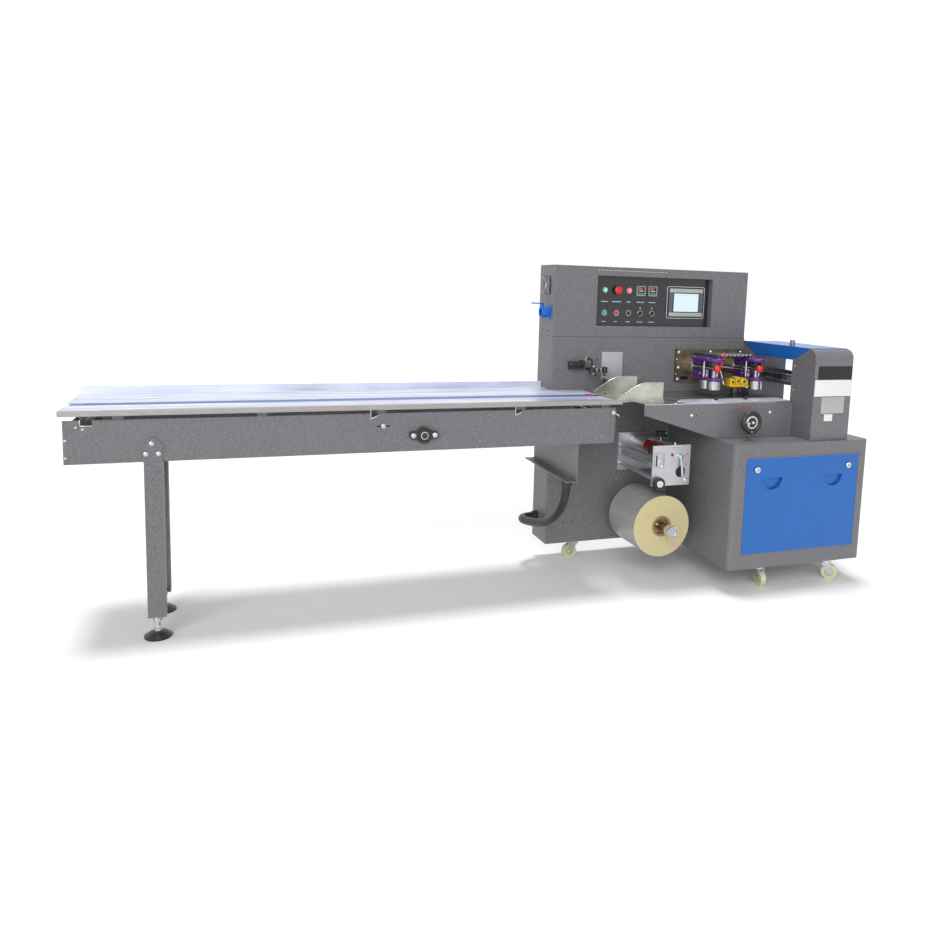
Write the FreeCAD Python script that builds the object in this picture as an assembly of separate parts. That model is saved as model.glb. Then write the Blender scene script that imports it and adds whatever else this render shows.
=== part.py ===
import FreeCAD, Part
import math
import os

from FreeCAD import Vector

# Horizontal flow wrapper: an infeed table feeds products through a forming box, a fin seal and a
# rotary end seal. Millimetres, +X along the product flow, +Z up. The datum used below is the main
# cabinet's left front bottom corner on the floor; SHIFT moves it to the middle of the machine.

# Cabinets
CABINET_BOTTOM = 112.0
MAIN_WIDTH = 1065.0
MAIN_DEPTH = 177.0
MAIN_TOP = 1450.0
HEAD_HEIGHT = 333.0
CORNER_RADIUS = 6.0
LOWER_LEFT = 652.0
LOWER_WIDTH = 736.0
LOWER_DEPTH = 563.0
LOWER_TOP = 685.0
LOWER_CORNER_RADIUS = 24.0

# Control panel recess in the head
RECESS_LEFT = 222.0
RECESS_WIDTH = 634.0
RECESS_BOTTOM = 1170.0
RECESS_HEIGHT = 238.0
RECESS_DEPTH = 38.0
PANEL_THICKNESS = 4.0
SCREEN_WIDTH = 216.0
SCREEN_HEIGHT = 159.0
SCREEN_LEFT = 393.0
SCREEN_RISE = 40.0
SCREEN_THICKNESS = 7.0
CONTROL_PITCH = 65.0
CONTROL_FIRST = 55.0
CONTROL_LOW = 62.0
CONTROL_HIGH = 171.0
BUTTON_RADIUS = 14.0
STOP_RADIUS = 19.0
CONTROLLER_SIDE = 48.0
VENT_COUNT = 26
VENT_PITCH = 14.5
VENT_WIDTH = 8.0
VENT_HEIGHT = 5.0
VENT_DROP = 14.0
VENT_DEPTH = 3.0

# Side fittings on the main cabinet's left face
FAN_SIDE = 86.0
FAN_THICKNESS = 7.0
FAN_MIDDLE_DEPTH = 88.0
FAN_MIDDLE_HEIGHT = 1356.0
INLET_SIDE = 62.0
INLET_DEPTH_FROM_FRONT = 62.0
INLET_HEIGHT = 1228.0
INLET_FLANGE = 6.0
INLET_COLLAR_RADIUS = 25.0
INLET_COLLAR_LENGTH = 34.0
INLET_BORE_RADIUS = 20.0
LID_RADIUS = 29.0
LID_THICKNESS = 5.0
LID_PIN_RADIUS = 3.0
LID_KNUCKLE_RADIUS = 6.0
LID_KNUCKLE_WIDTH = 18.0
LID_LUG_WIDTH = 5.0

# Door panel and locks
DOOR_LEFT = 64.0
DOOR_WIDTH = 618.0
DOOR_BOTTOM = 180.0
DOOR_HEIGHT = 442.0
DOOR_THICKNESS = 20.0
DOOR_GAP = 1.5
GRIP_RADIUS = 54.0
GRIP_DEPTH = 14.0
GRIP_DROP = 94.0
GRIP_INSET = 141.0
LOCK_RADIUS = 13.0
LOCK_PROUD = 5.0
LOCK_INSET = 57.0
LOCK_DROP = 54.0

# Work table in front of the main cabinet
MACHINE_CENTRE = 200.0
TABLE_HEIGHT = 850.0
TABLE_LEFT = 277.0
TABLE_RIGHT = 1063.0
TABLE_DEPTH = 411.0
TABLE_PLATE = 4.0
SKIRT_STEP = 49.0
COVER_LENGTH = 530.0
COVER_WIDTH = 92.0
COVER_THICKNESS = 3.0
COVER_LEFT = 520.0
COVER_SETBACK = 12.0
TABLE_KNOB_RADIUS = 9.0
TABLE_KNOB_HEIGHT = 14.0
HANDWHEEL_X = 796.0
HANDWHEEL_Z = 766.0
HANDWHEEL_RADIUS = 53.0
HANDWHEEL_RIM = 9.0
HANDWHEEL_STANDOFF = 58.0
HANDWHEEL_SHAFT = 9.0
HANDWHEEL_HUB = 20.0
GRIP_PIN_RADIUS = 7.0

# Forming box
BOX_LEFT = 170.0
BOX_WIDTH = 245.0
BOX_HALF_WIDTH = 125.0
BOX_WALL = 2.0
BOX_HEIGHT = 84.0
BOX_BASE = 3.0

# Fin seal
FIN_PLATE_LEFT = 661.0
FIN_PLATE_WIDTH = 392.0
FIN_PLATE_BOTTOM = 896.0
FIN_PLATE_HEIGHT = 165.0
FIN_PLATE_THICKNESS = 12.0
FIN_FIRST_X = 740.0
FIN_PITCH = 237.0
FIN_AXIS_HEIGHT = 984.0
FIN_DRUM_RADIUS = 44.0
FIN_BLOCK_FRONT = 175.0
FIN_BLOCK_BACK = 106.0
FIN_BLOCK_WIDTH = 88.0
FIN_TOP_WIDTH = 104.0
FIN_TOP_LEVEL = 1034.0
FIN_TOP_THICKNESS = 12.0
FIN_BOTTOM_LEVEL = 932.0
FIN_REACH = 284.0
FIN_WHEEL_RADIUS = 31.0
FIN_WHEEL_HEIGHT = 40.0
FIN_WHEEL_GAP = 1.0
FIN_SPINDLE_RADIUS = 8.0
FIN_LEVER_LENGTH = 46.0
BALL_RADIUS = 17.0

# End seal
SEAL_WIDTH = 213.0
SEAL_FRONT = 542.0
SEAL_BLOCK_BACK = 384.0
SEAL_TOP = 1102.0
SEAL_ROUND = 42.0
SEAL_REAR_BLOCK = 70.0
SEAL_COVER_THICKNESS = 3.0
SEAL_SKIRT_HEIGHT = 60.0
CRIMP_UPPER_HEIGHT = 940.0
CRIMP_LOWER_HEIGHT = 790.0
CRIMP_GAP = 3.0
CRIMP_SHAFT_RADIUS = 17.0
CRIMP_HUB_RADIUS = 38.0
CRIMP_JAW_LENGTH = 270.0
CRIMP_JAW_WIDTH = 46.0

# Film draw unit below the table
FILM_PLATE_LEFT = 366.0
FILM_PLATE_WIDTH = 195.0
FILM_PLATE_BOTTOM = 463.0
FILM_PLATE_HEIGHT = 187.0
FILM_PLATE_THICKNESS = 10.0
FILM_UNIT_REACH = 350.0
DRAW_X = 466.0
DRAW_Z = 605.0
DRAW_RADIUS = 27.0
DRAW_SHAFT_RADIUS = 8.0
GUIDE_RADIUS = 11.0
LEVER_X = 505.0
LEVER_Z = 596.0
LEVER_LENGTH = 88.0
LEVER_BOSS = 13.0

# Film reel
REEL_X = 444.0
REEL_Z = 265.0
ROLL_RADIUS = 144.0
ROLL_WIDTH = 252.0
CORE_RADIUS = 39.0
REEL_SHAFT_RADIUS = 20.0
REEL_CAP_RADIUS = 26.0
REEL_CAP_LENGTH = 26.0
REEL_REACH = 415.0
REEL_FLANGE_RADIUS = 48.0
REEL_FLANGE_THICKNESS = 18.0

# Infeed conveyor
INFEED_LENGTH = 1990.0
INFEED_TOP = 864.0
INFEED_HALF_WIDTH = 143.0
SIDE_HEIGHT = 157.0
SIDE_GAP = 33.0
SIDE_THICKNESS = 4.0
SIDE_FLANGE = 28.0
INFEED_OVERLAP = 155.0
SIDE_OVERLAP = 167.0
SIDE_SETBACK = 12.0
TABLE_SHEET = 3.0
LANE_WIDTH = 76.0
TABLE_BACK = 130.0
RAIL_WIDTH = 20.0
RAIL_HEIGHT = 19.0
RAIL_OVERLAP = 194.0
UPSTAND_HEIGHT = 28.0
UPSTAND_THICKNESS = 3.0
CROSS_POSITIONS = (-1820.0, -1330.0, -880.0, -290.0, 105.0)
CROSS_WIDTH = 36.0
CROSS_THICKNESS = 4.0
POST_THICKNESS = 4.0
END_DROP = 30.0
RAIL_GROOVES = 3
CHAIN_DROP = 2.0
BEARING_RADIUS = 33.0
BEARING_DEPTH = 16.0
BEARING_REACH = 44.0
BEARING_EAR = 16.0
SPROCKET_RADIUS = 30.0
CHAIN_WIDTH = 24.0
CHAIN_THICKNESS = 13.0
CHAIN_TAIL_X = -1900.0
CHAIN_HEAD_X = 70.0
DRIVE_SHAFT_X = -690.0
DRIVE_SHAFT_Z = 736.0
SHAFT_RADIUS = 12.0
LEG_X = -1690.0
LEG_WIDTH = 64.0
LEG_DEPTH = 40.0
LEG_WALL = 4.0
LEG_BOTTOM = 80.0
LEG_SHOULDER = 733.0
LEG_PEAK = 760.0
FOOT_RADIUS = 49.0
FOOT_HEIGHT = 24.0
FOOT_STEM_RADIUS = 10.0

# Bracket between the infeed conveyor and the main cabinet, and the cable conduit below it
BRACKET_DROP = 170.0
BRACKET_WIDTH = 52.0
BRACKET_WALL = 4.0
HOSE_RADIUS = 20.0
GLAND_RADIUS = 26.0
GLAND_HEIGHT = 18.0

SENSOR_HEIGHT = 965.0
SENSOR_LEFT = 85.0
SENSOR_ARM_X = 182.0
SENSOR_LINK = 66.0
SENSOR_REACH = 62.0
SENSOR_LENGTH = 70.0
SENSOR_DEPTH = 34.0
SENSOR_BODY_HEIGHT = 36.0
SENSOR_ROD_RADIUS = 7.0
SENSOR_KNUCKLE_RADIUS = 13.0
SENSOR_KNUCKLE_HEIGHT = 30.0

# Castors: swivel point in x and in depth behind the cabinets' fronts, and the heading of the trail
CASTORS = {
    "main_left": (190.0, 93.0, 0.0),
    "main_right": (905.0, 93.0, 0.0),
    "front_left": (884.0, -474.0, 80.0),
    "front_right": (1250.0, -492.0, 138.0),
}
CASTOR_WHEEL_RADIUS = 36.0
CASTOR_WHEEL_WIDTH = 24.0
CASTOR_TRAIL = 22.0
CASTOR_FORK_GAP = 5.0
CASTOR_FORK_WALL = 3.0
CASTOR_AXLE_RADIUS = 5.0
CASTOR_HEAD_RADIUS = 24.0
CASTOR_PLATE_SIDE = 70.0
CASTOR_PLATE_THICKNESS = 5.0

# Clearances
FIT = 0.05
SEAT = 0.3

SEAM = MAIN_TOP - HEAD_HEIGHT
LOWER_RIGHT = LOWER_LEFT + LOWER_WIDTH
LEFT_END = -INFEED_LENGTH
FRONT = -LOWER_DEPTH - LOCK_PROUD
LID_PIVOT = (
    -INLET_FLANGE - INLET_COLLAR_LENGTH + LID_KNUCKLE_RADIUS,
    INLET_DEPTH_FROM_FRONT,
    INLET_HEIGHT + INLET_COLLAR_RADIUS + LID_KNUCKLE_RADIUS + 1,
)
SHIFT = Vector(-(LEFT_END + LOWER_RIGHT) / 2, -(FRONT + MAIN_DEPTH) / 2, 0)
CENTRE = -MACHINE_CENTRE
SIDE_TOP = INFEED_TOP - TABLE_SHEET - SIDE_GAP
SIDE_BOTTOM = SIDE_TOP - SIDE_HEIGHT
SIDE_FRONT = CENTRE - INFEED_HALF_WIDTH
SIDE_BACK = CENTRE + INFEED_HALF_WIDTH
SEAL_X = MAIN_WIDTH + SEAL_WIDTH / 2
X = Vector(1, 0, 0)
Y = Vector(0, 1, 0)
Z = Vector(0, 0, 1)


def box(x0, x1, y0, y1, z0, z1):
    return Part.makeBox(x1 - x0, y1 - y0, z1 - z0, Vector(x0, y0, z0))


def rod(start, axis, radius, length):
    return Part.makeCylinder(radius, length, Vector(*start), axis)


def tube(start, axis, outer, inner, length):
    return rod(start, axis, outer, length).cut(rod(start, axis, inner, length))


def prism(points, along):
    """Extrudes the closed outline through points by the vector along."""
    wire = Part.makePolygon([Vector(*p) for p in points] + [Vector(*points[0])])
    return Part.Face(wire).extrude(along)


def vertical_edges(shape, x_min, x_max, y_min, y_max):
    picked = []
    for edge in shape.Edges:
        a, b = edge.firstVertex().Point, edge.lastVertex().Point
        upright = abs(a.x - b.x) < 1e-6 and abs(a.y - b.y) < 1e-6
        if upright and x_min <= a.x <= x_max and y_min <= a.y <= y_max:
            picked.append(edge)
    return picked


def save(name, *solids):
    placed = [s.copy() for s in solids]
    for s in placed:
        s.translate(SHIFT)
    shape = placed[0] if len(placed) == 1 else Part.makeCompound(placed)
    if not shape.isValid():
        raise ValueError(name + " is not valid")
    shape.exportStep("parts/" + name + ".step")


# Cabinets


def main_cabinet():
    body = box(0, MAIN_WIDTH, 0, MAIN_DEPTH, CABINET_BOTTOM, SEAM)
    return body.makeFillet(CORNER_RADIUS, vertical_edges(body, -1, 1, -1, 1))


def cabinet_head():
    body = box(0, MAIN_WIDTH, 0, MAIN_DEPTH, SEAM, MAIN_TOP)
    edges = vertical_edges(body, -1, MAIN_WIDTH + 1, -1, 1)
    body = body.makeFillet(CORNER_RADIUS, edges)
    right, top = RECESS_LEFT + RECESS_WIDTH, RECESS_BOTTOM + RECESS_HEIGHT
    body = body.cut(box(RECESS_LEFT, right, -1, RECESS_DEPTH, RECESS_BOTTOM, top))
    slots = []
    for k in range(VENT_COUNT):
        x0 = RECESS_LEFT + k * VENT_PITCH
        z1 = MAIN_TOP - VENT_DROP
        slots.append(box(x0, x0 + VENT_WIDTH, -1, VENT_DEPTH, z1 - VENT_HEIGHT, z1))
    return body.cut(slots)


def panel_face():
    return RECESS_DEPTH - PANEL_THICKNESS


def control_panel():
    right, top = RECESS_LEFT + RECESS_WIDTH, RECESS_BOTTOM + RECESS_HEIGHT
    return box(RECESS_LEFT, right, panel_face(), RECESS_DEPTH, RECESS_BOTTOM, top)


def control_buttons():
    y = panel_face()
    low, high = RECESS_BOTTOM + CONTROL_LOW, RECESS_BOTTOM + CONTROL_HIGH
    xs = [RECESS_LEFT + CONTROL_FIRST + k * CONTROL_PITCH for k in range(5)]
    pieces = []
    for x in (xs[0], xs[2]):
        pieces.append(rod((x, y, high), -Y, BUTTON_RADIUS, 12))
    stop = rod((xs[1], y, high), -Y, BUTTON_RADIUS, 14)
    pieces.append(stop.fuse(rod((xs[1], y - 14, high), -Y, STOP_RADIUS, 12)))
    half = CONTROLLER_SIDE / 2
    for x in xs[3:]:
        pieces.append(box(x - half, x + half, y - 5, y, high - half, high + half))
    for x in xs[:3]:
        pieces.append(rod((x, y, low), -Y, BUTTON_RADIUS, 9))
    for x in xs[3:]:
        dial = rod((x, y, low), -Y, BUTTON_RADIUS, 6)
        pieces.append(dial.fuse(box(x - 4, x + 4, y - 18, y - 6, low - 13, low + 13)))
    return pieces


def touch_screen():
    x0 = RECESS_LEFT + SCREEN_LEFT
    z0 = RECESS_BOTTOM + SCREEN_RISE
    y = panel_face()
    return box(x0, x0 + SCREEN_WIDTH, y - SCREEN_THICKNESS, y, z0, z0 + SCREEN_HEIGHT)


def fan_guard():
    half = FAN_SIDE / 2
    y, z = FAN_MIDDLE_DEPTH, FAN_MIDDLE_HEIGHT
    frame = box(-FAN_THICKNESS, 0, y - half, y + half, z - half, z + half)
    return frame


def power_inlet():
    """A flanged inlet with a round collar and two lugs that hold the pin of its lid."""
    half = INLET_SIDE / 2
    y, z = INLET_DEPTH_FROM_FRONT, INLET_HEIGHT
    flange = box(-INLET_FLANGE, 0, y - half, y + half, z - half, z + half)
    collar = rod((-INLET_FLANGE, y, z), -X, INLET_COLLAR_RADIUS, INLET_COLLAR_LENGTH)
    bore = rod((-INLET_FLANGE, y, z), -X, INLET_BORE_RADIUS, INLET_COLLAR_LENGTH)
    px, py, pz = LID_PIVOT
    inner = LID_KNUCKLE_WIDTH / 2 + SEAT
    lugs = []
    for y0 in (py - inner - LID_LUG_WIDTH, py + inner):
        r = LID_KNUCKLE_RADIUS
        lugs.append(rod((px, y0, pz), Y, r, LID_LUG_WIDTH))
        lugs.append(box(px - r, px + r, y0, y0 + LID_LUG_WIDTH, z + INLET_BORE_RADIUS, pz))
    length = 2 * (inner + LID_LUG_WIDTH)
    pin = rod((px, py - length / 2, pz), Y, LID_PIN_RADIUS, length)
    return flange.fuse([collar] + lugs).cut(bore).fuse(pin)


def inlet_lid():
    px, py, pz = LID_PIVOT
    r = LID_KNUCKLE_RADIUS
    under = pz + r + 0.5
    knuckle = rod((px, py - LID_KNUCKLE_WIDTH / 2, pz), Y, r, LID_KNUCKLE_WIDTH)
    web = box(px - r, px + r, py - LID_KNUCKLE_WIDTH / 2, py + LID_KNUCKLE_WIDTH / 2, pz, under)
    disc = rod((px + r - LID_RADIUS, py, under), Z, LID_RADIUS, LID_THICKNESS)
    bore = rod((px, py - LID_RADIUS, pz), Y, LID_PIN_RADIUS + FIT, 2 * LID_RADIUS)
    return knuckle.fuse([web, disc]).cut(bore)


def lower_cabinet():
    body = box(LOWER_LEFT, LOWER_RIGHT, -LOWER_DEPTH, 0, CABINET_BOTTOM, LOWER_TOP)
    edges = vertical_edges(body, LOWER_LEFT - 1, LOWER_RIGHT + 1, -LOWER_DEPTH - 1, -LOWER_DEPTH + 1)
    body = body.makeFillet(LOWER_CORNER_RADIUS, edges)
    x0 = LOWER_LEFT + DOOR_LEFT - DOOR_GAP
    x1 = x0 + DOOR_WIDTH + 2 * DOOR_GAP
    z0 = DOOR_BOTTOM - DOOR_GAP
    z1 = z0 + DOOR_HEIGHT + 2 * DOOR_GAP
    return body.cut(box(x0, x1, -LOWER_DEPTH - 1, -LOWER_DEPTH + DOOR_THICKNESS, z0, z1))


def door_panel():
    x0 = LOWER_LEFT + DOOR_LEFT
    x1 = x0 + DOOR_WIDTH
    top = DOOR_BOTTOM + DOOR_HEIGHT
    face = -LOWER_DEPTH
    panel = box(x0, x1, face, face + DOOR_THICKNESS, DOOR_BOTTOM, top)
    for x in (x0 + GRIP_INSET, x1 - GRIP_INSET):
        grip = rod((x, face, top - GRIP_DROP), Y, GRIP_RADIUS, GRIP_DEPTH)
        above = box(x - GRIP_RADIUS, x + GRIP_RADIUS, face, face + GRIP_DEPTH, top - GRIP_DROP, top)
        panel = panel.cut(grip.cut(above))
    for x in (x0 + LOCK_INSET, x1 - LOCK_INSET):
        panel = panel.fuse(rod((x, face, top - LOCK_DROP), -Y, LOCK_RADIUS, LOCK_PROUD))
    return panel


# Work table


def work_table():
    front, under = -TABLE_DEPTH, TABLE_HEIGHT - TABLE_PLATE
    plate = box(TABLE_LEFT, TABLE_RIGHT, front, 0, under, TABLE_HEIGHT)
    step = TABLE_LEFT + TABLE_PLATE
    outline = [
        (TABLE_LEFT, front, under),
        (TABLE_LEFT, front, TABLE_HEIGHT - SKIRT_STEP),
        (LOWER_LEFT, front, LOWER_TOP),
        (TABLE_RIGHT, front, LOWER_TOP),
        (TABLE_RIGHT, front, under),
    ]
    skirt = prism(outline, Y * TABLE_PLATE)
    rib = box(LOWER_LEFT, LOWER_LEFT + TABLE_PLATE, front, 0, LOWER_TOP, under)
    hub = rod((HANDWHEEL_X, front, HANDWHEEL_Z), -Y, HANDWHEEL_HUB, 10)
    bore = rod((HANDWHEEL_X, front + TABLE_PLATE, HANDWHEEL_Z), -Y, HANDWHEEL_SHAFT + FIT, 20)
    return plate.fuse([skirt, rib, hub]).cut(bore)


def table_cover():
    front = -TABLE_DEPTH + COVER_SETBACK
    back = front + COVER_WIDTH
    right = COVER_LEFT + COVER_LENGTH
    nose = COVER_LEFT - COVER_WIDTH / 2
    z = TABLE_HEIGHT
    points = [(COVER_LEFT, front, z), (right, front, z), (right, back, z), (COVER_LEFT, back, z)]
    points.append((nose, (front + back) / 2, z))
    plate = prism(points, Z * COVER_THICKNESS)
    knobs = []
    for share in (0.3, 0.6):
        x = COVER_LEFT + share * COVER_LENGTH
        start = (x, (front + back) / 2, z + COVER_THICKNESS)
        knobs.append(rod(start, Z, TABLE_KNOB_RADIUS, TABLE_KNOB_HEIGHT))
    return plate.fuse(knobs)


def handwheel():
    y = -TABLE_DEPTH - HANDWHEEL_STANDOFF
    back = -TABLE_DEPTH + TABLE_PLATE
    rim = Part.makeTorus(HANDWHEEL_RADIUS - HANDWHEEL_RIM, HANDWHEEL_RIM, Vector(HANDWHEEL_X, y, HANDWHEEL_Z), Y)
    web = rod((HANDWHEEL_X, y - 3, HANDWHEEL_Z), Y, HANDWHEEL_RADIUS - HANDWHEEL_RIM, 6)
    boss = rod((HANDWHEEL_X, y - 8, HANDWHEEL_Z), Y, HANDWHEEL_HUB, 22)
    shaft = rod((HANDWHEEL_X, y, HANDWHEEL_Z), Y, HANDWHEEL_SHAFT, back - y)
    grip = rod((HANDWHEEL_X - HANDWHEEL_RADIUS + 14, y, HANDWHEEL_Z), -Y, GRIP_PIN_RADIUS, 34)
    return rim.fuse([web, boss, shaft, grip])


def forming_box():
    z = TABLE_HEIGHT
    left, right = BOX_LEFT, BOX_LEFT + BOX_WIDTH
    front, back = CENTRE - BOX_HALF_WIDTH, CENTRE + BOX_HALF_WIDTH
    base = box(TABLE_LEFT - 90, right, front - 12, back + 12, z, z + BOX_BASE)
    top = z + BOX_HEIGHT
    walls = []
    for y in (front, back - BOX_WALL):
        outline = [
            (left + 15, y, z + BOX_BASE),
            (left + 18, y, z + 12),
            (left + 92, y, z + 62),
            (left + 146, y, top),
            (right, y, top),
            (right, y, z + BOX_BASE),
        ]
        walls.append(prism(outline, Y * BOX_WALL))
    return base.fuse(walls)


# Fin seal


def fin_centres():
    return [FIN_FIRST_X, FIN_FIRST_X + FIN_PITCH]


def fin_mount():
    right = FIN_PLATE_LEFT + FIN_PLATE_WIDTH
    top = FIN_PLATE_BOTTOM + FIN_PLATE_HEIGHT
    plate = box(FIN_PLATE_LEFT, right, -FIN_PLATE_THICKNESS, 0, FIN_PLATE_BOTTOM, top)
    drums = []
    for x in fin_centres():
        start = (x, -FIN_BLOCK_BACK, FIN_AXIS_HEIGHT)
        drums.append(rod(start, Y, FIN_DRUM_RADIUS, FIN_BLOCK_BACK - FIN_PLATE_THICKNESS))
    return plate.fuse(drums)


def wheel_depths():
    step = FIN_WHEEL_RADIUS + FIN_WHEEL_GAP / 2
    return {"rear": CENTRE + step, "front": CENTRE - step}


def fin_unit(x):
    half = FIN_BLOCK_WIDTH / 2
    wide = FIN_TOP_WIDTH / 2
    top = FIN_TOP_LEVEL
    floor = FIN_BOTTOM_LEVEL + FIN_TOP_THICKNESS
    block = box(x - half, x + half, -FIN_BLOCK_FRONT, -FIN_BLOCK_BACK, FIN_BOTTOM_LEVEL, top)
    upper = box(x - wide, x + wide, -FIN_REACH, -FIN_BLOCK_BACK, top - FIN_TOP_THICKNESS, top)
    lower = box(x - half, x + half, -FIN_REACH, -FIN_BLOCK_BACK, FIN_BOTTOM_LEVEL, floor)
    nose = box(x - half + 10, x + half - 10, -FIN_REACH, -FIN_REACH + 40, floor, floor + 42)
    unit = block.fuse([upper, lower, nose])
    for y in wheel_depths().values():
        unit = unit.cut(rod((x, y, FIN_BOTTOM_LEVEL - 1), Z, FIN_SPINDLE_RADIUS + FIT, 40))
    return unit


def fin_wheel(x, y):
    top = FIN_BOTTOM_LEVEL - 6
    wheel = rod((x, y, top - FIN_WHEEL_HEIGHT), Z, FIN_WHEEL_RADIUS, FIN_WHEEL_HEIGHT)
    return wheel.fuse(rod((x, y, top), Z, FIN_SPINDLE_RADIUS, 6 + FIN_TOP_THICKNESS))


def fin_guides():
    a, b = fin_centres()
    z = FIN_TOP_LEVEL
    left, right = a + FIN_BLOCK_WIDTH / 2 + 12, b - FIN_BLOCK_WIDTH / 2 - 12
    brush = box(left, right, CENTRE - 20, CENTRE + 20, TABLE_HEIGHT, TABLE_HEIGHT + 46)
    bar = box(a, b, -130, -118, z, z + 12)
    combs = []
    for k in range(8):
        x = a + 20 + k * (b - a - 40) / 7
        combs.append(rod((x, -118, z + 6), -Y, 3, 90))
    return [brush, bar.fuse(combs)]


# End seal


def seal_housing():
    left, right = MAIN_WIDTH, MAIN_WIDTH + SEAL_WIDTH
    front = box(left, right, -SEAL_FRONT, -SEAL_BLOCK_BACK, LOWER_TOP, SEAL_TOP)
    rounded = []
    for edge in front.Edges:
        a, b = edge.firstVertex().Point, edge.lastVertex().Point
        if all(abs(p.z - SEAL_TOP) < 1e-6 and abs(p.y + SEAL_FRONT) < 1e-6 for p in (a, b)):
            rounded.append(edge)
    front = front.makeFillet(SEAL_ROUND, rounded)
    rear = box(left, right, -SEAL_REAR_BLOCK, 0, LOWER_TOP, SEAL_TOP)
    for z in (CRIMP_UPPER_HEIGHT, CRIMP_LOWER_HEIGHT):
        front = front.cut(rod((SEAL_X, -SEAL_BLOCK_BACK, z), -Y, CRIMP_SHAFT_RADIUS + FIT, 40))
        rear = rear.cut(rod((SEAL_X, -SEAL_REAR_BLOCK, z), Y, CRIMP_SHAFT_RADIUS + FIT, 40))
    return [front, rear]


def seal_cover():
    left, right = MAIN_WIDTH, MAIN_WIDTH + SEAL_WIDTH
    t = SEAL_COVER_THICKNESS
    z = SEAL_TOP
    edge = -SEAL_FRONT + SEAL_ROUND
    roof = box(left - t, right, edge, 0, z, z + t)
    low = z - SEAL_SKIRT_HEIGHT
    outline = [
        (left - t, edge, z),
        (left - t, -SEAL_BLOCK_BACK, low),
        (left - t, -107, low),
        (left - t, 0, z),
    ]
    skirt = prism(outline, X * t)
    stud = rod((MAIN_WIDTH + 40, -325, z + t), Z, 12, 26)
    return roof.fuse([skirt, stud])


def crimp_shaft(z):
    y0, y1 = -SEAL_BLOCK_BACK - 36, -SEAL_REAR_BLOCK + 36
    reach = (CRIMP_UPPER_HEIGHT - CRIMP_LOWER_HEIGHT - CRIMP_GAP) / 2
    shaft = rod((SEAL_X, y0, z), Y, CRIMP_SHAFT_RADIUS, y1 - y0)
    middle = -(SEAL_BLOCK_BACK + SEAL_REAR_BLOCK) / 2
    start = middle - CRIMP_JAW_LENGTH / 2
    hub = rod((SEAL_X, start, z), Y, CRIMP_HUB_RADIUS, CRIMP_JAW_LENGTH)
    half = CRIMP_JAW_WIDTH / 2
    jaws = box(SEAL_X - reach, SEAL_X + reach, start, start + CRIMP_JAW_LENGTH, z - half, z + half)
    envelope = rod((SEAL_X, start, z), Y, reach, CRIMP_JAW_LENGTH)
    return shaft.fuse([hub, jaws.common(envelope)])


# Film draw unit and reel


def film_unit():
    y = -FILM_UNIT_REACH
    right, top = FILM_PLATE_LEFT + FILM_PLATE_WIDTH, FILM_PLATE_BOTTOM + FILM_PLATE_HEIGHT
    t = FILM_PLATE_THICKNESS
    front = box(FILM_PLATE_LEFT, right, y, y + t, FILM_PLATE_BOTTOM, top)
    back = box(FILM_PLATE_LEFT, right, -t, 0, FILM_PLATE_BOTTOM, top)
    holes = [rod((DRAW_X, y - 1, DRAW_Z), Y, DRAW_SHAFT_RADIUS + FIT, FILM_UNIT_REACH + 2)]
    holes.append(rod((LEVER_X + 8, y - 1, FILM_PLATE_BOTTOM + 62), Y, 26, t + 2))
    holes.append(rod((LEVER_X, y - 1, LEVER_Z), Y, 6 + FIT, t + 2))
    front, back = front.cut(holes), back.cut(holes[:1])
    ties = []
    for x, z, r in film_ties():
        ties.append(rod((x, y + t, z), Y, r, FILM_UNIT_REACH - 2 * t))
    bar = box(FILM_PLATE_LEFT + 8, FILM_PLATE_LEFT + 14, y + t, -t, DRAW_Z - 60, DRAW_Z - 32)
    return front.fuse([back, bar] + ties)


def film_ties():
    top = FILM_PLATE_BOTTOM + FILM_PLATE_HEIGHT
    return [
        (FILM_PLATE_LEFT + 16, FILM_PLATE_BOTTOM + 35, GUIDE_RADIUS),
        (FILM_PLATE_LEFT + FILM_PLATE_WIDTH - 18, FILM_PLATE_BOTTOM + 20, GUIDE_RADIUS),
        (FILM_PLATE_LEFT + FILM_PLATE_WIDTH - 20, top - 24, GUIDE_RADIUS),
    ]


def draw_roller():
    y = -FILM_UNIT_REACH + FILM_PLATE_THICKNESS
    length = FILM_UNIT_REACH - 2 * FILM_PLATE_THICKNESS
    body = rod((DRAW_X, y + 6, DRAW_Z), Y, DRAW_RADIUS, length - 12)
    return body.fuse(rod((DRAW_X, y - FILM_PLATE_THICKNESS, DRAW_Z), Y, DRAW_SHAFT_RADIUS, FILM_UNIT_REACH))


def film_lever():
    y = -FILM_UNIT_REACH
    pin = rod((LEVER_X, y - 14, LEVER_Z), Y, 6, 14 + FILM_PLATE_THICKNESS)
    boss = rod((LEVER_X, y - 18, LEVER_Z), Y, LEVER_BOSS, 18 - SEAT)
    arm = rod((LEVER_X, y - 12, LEVER_Z), -Z, 5, LEVER_LENGTH)
    return boss.fuse([pin, arm])


def film_roll():
    return tube((REEL_X, CENTRE - ROLL_WIDTH / 2, REEL_Z), Y, ROLL_RADIUS, CORE_RADIUS, ROLL_WIDTH)


def reel_shaft():
    front = -REEL_REACH
    shaft = rod((REEL_X, front, REEL_Z), Y, REEL_SHAFT_RADIUS, REEL_REACH)
    cap = rod((REEL_X, front - 1, REEL_Z), Y, REEL_CAP_RADIUS, REEL_CAP_LENGTH)
    chucks = []
    for y in (CENTRE - ROLL_WIDTH / 2 + 14, CENTRE + ROLL_WIDTH / 2 - 44):
        chucks.append(rod((REEL_X, y, REEL_Z), Y, CORE_RADIUS - SEAT, 30))
    return shaft.fuse([cap] + chucks)


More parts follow.
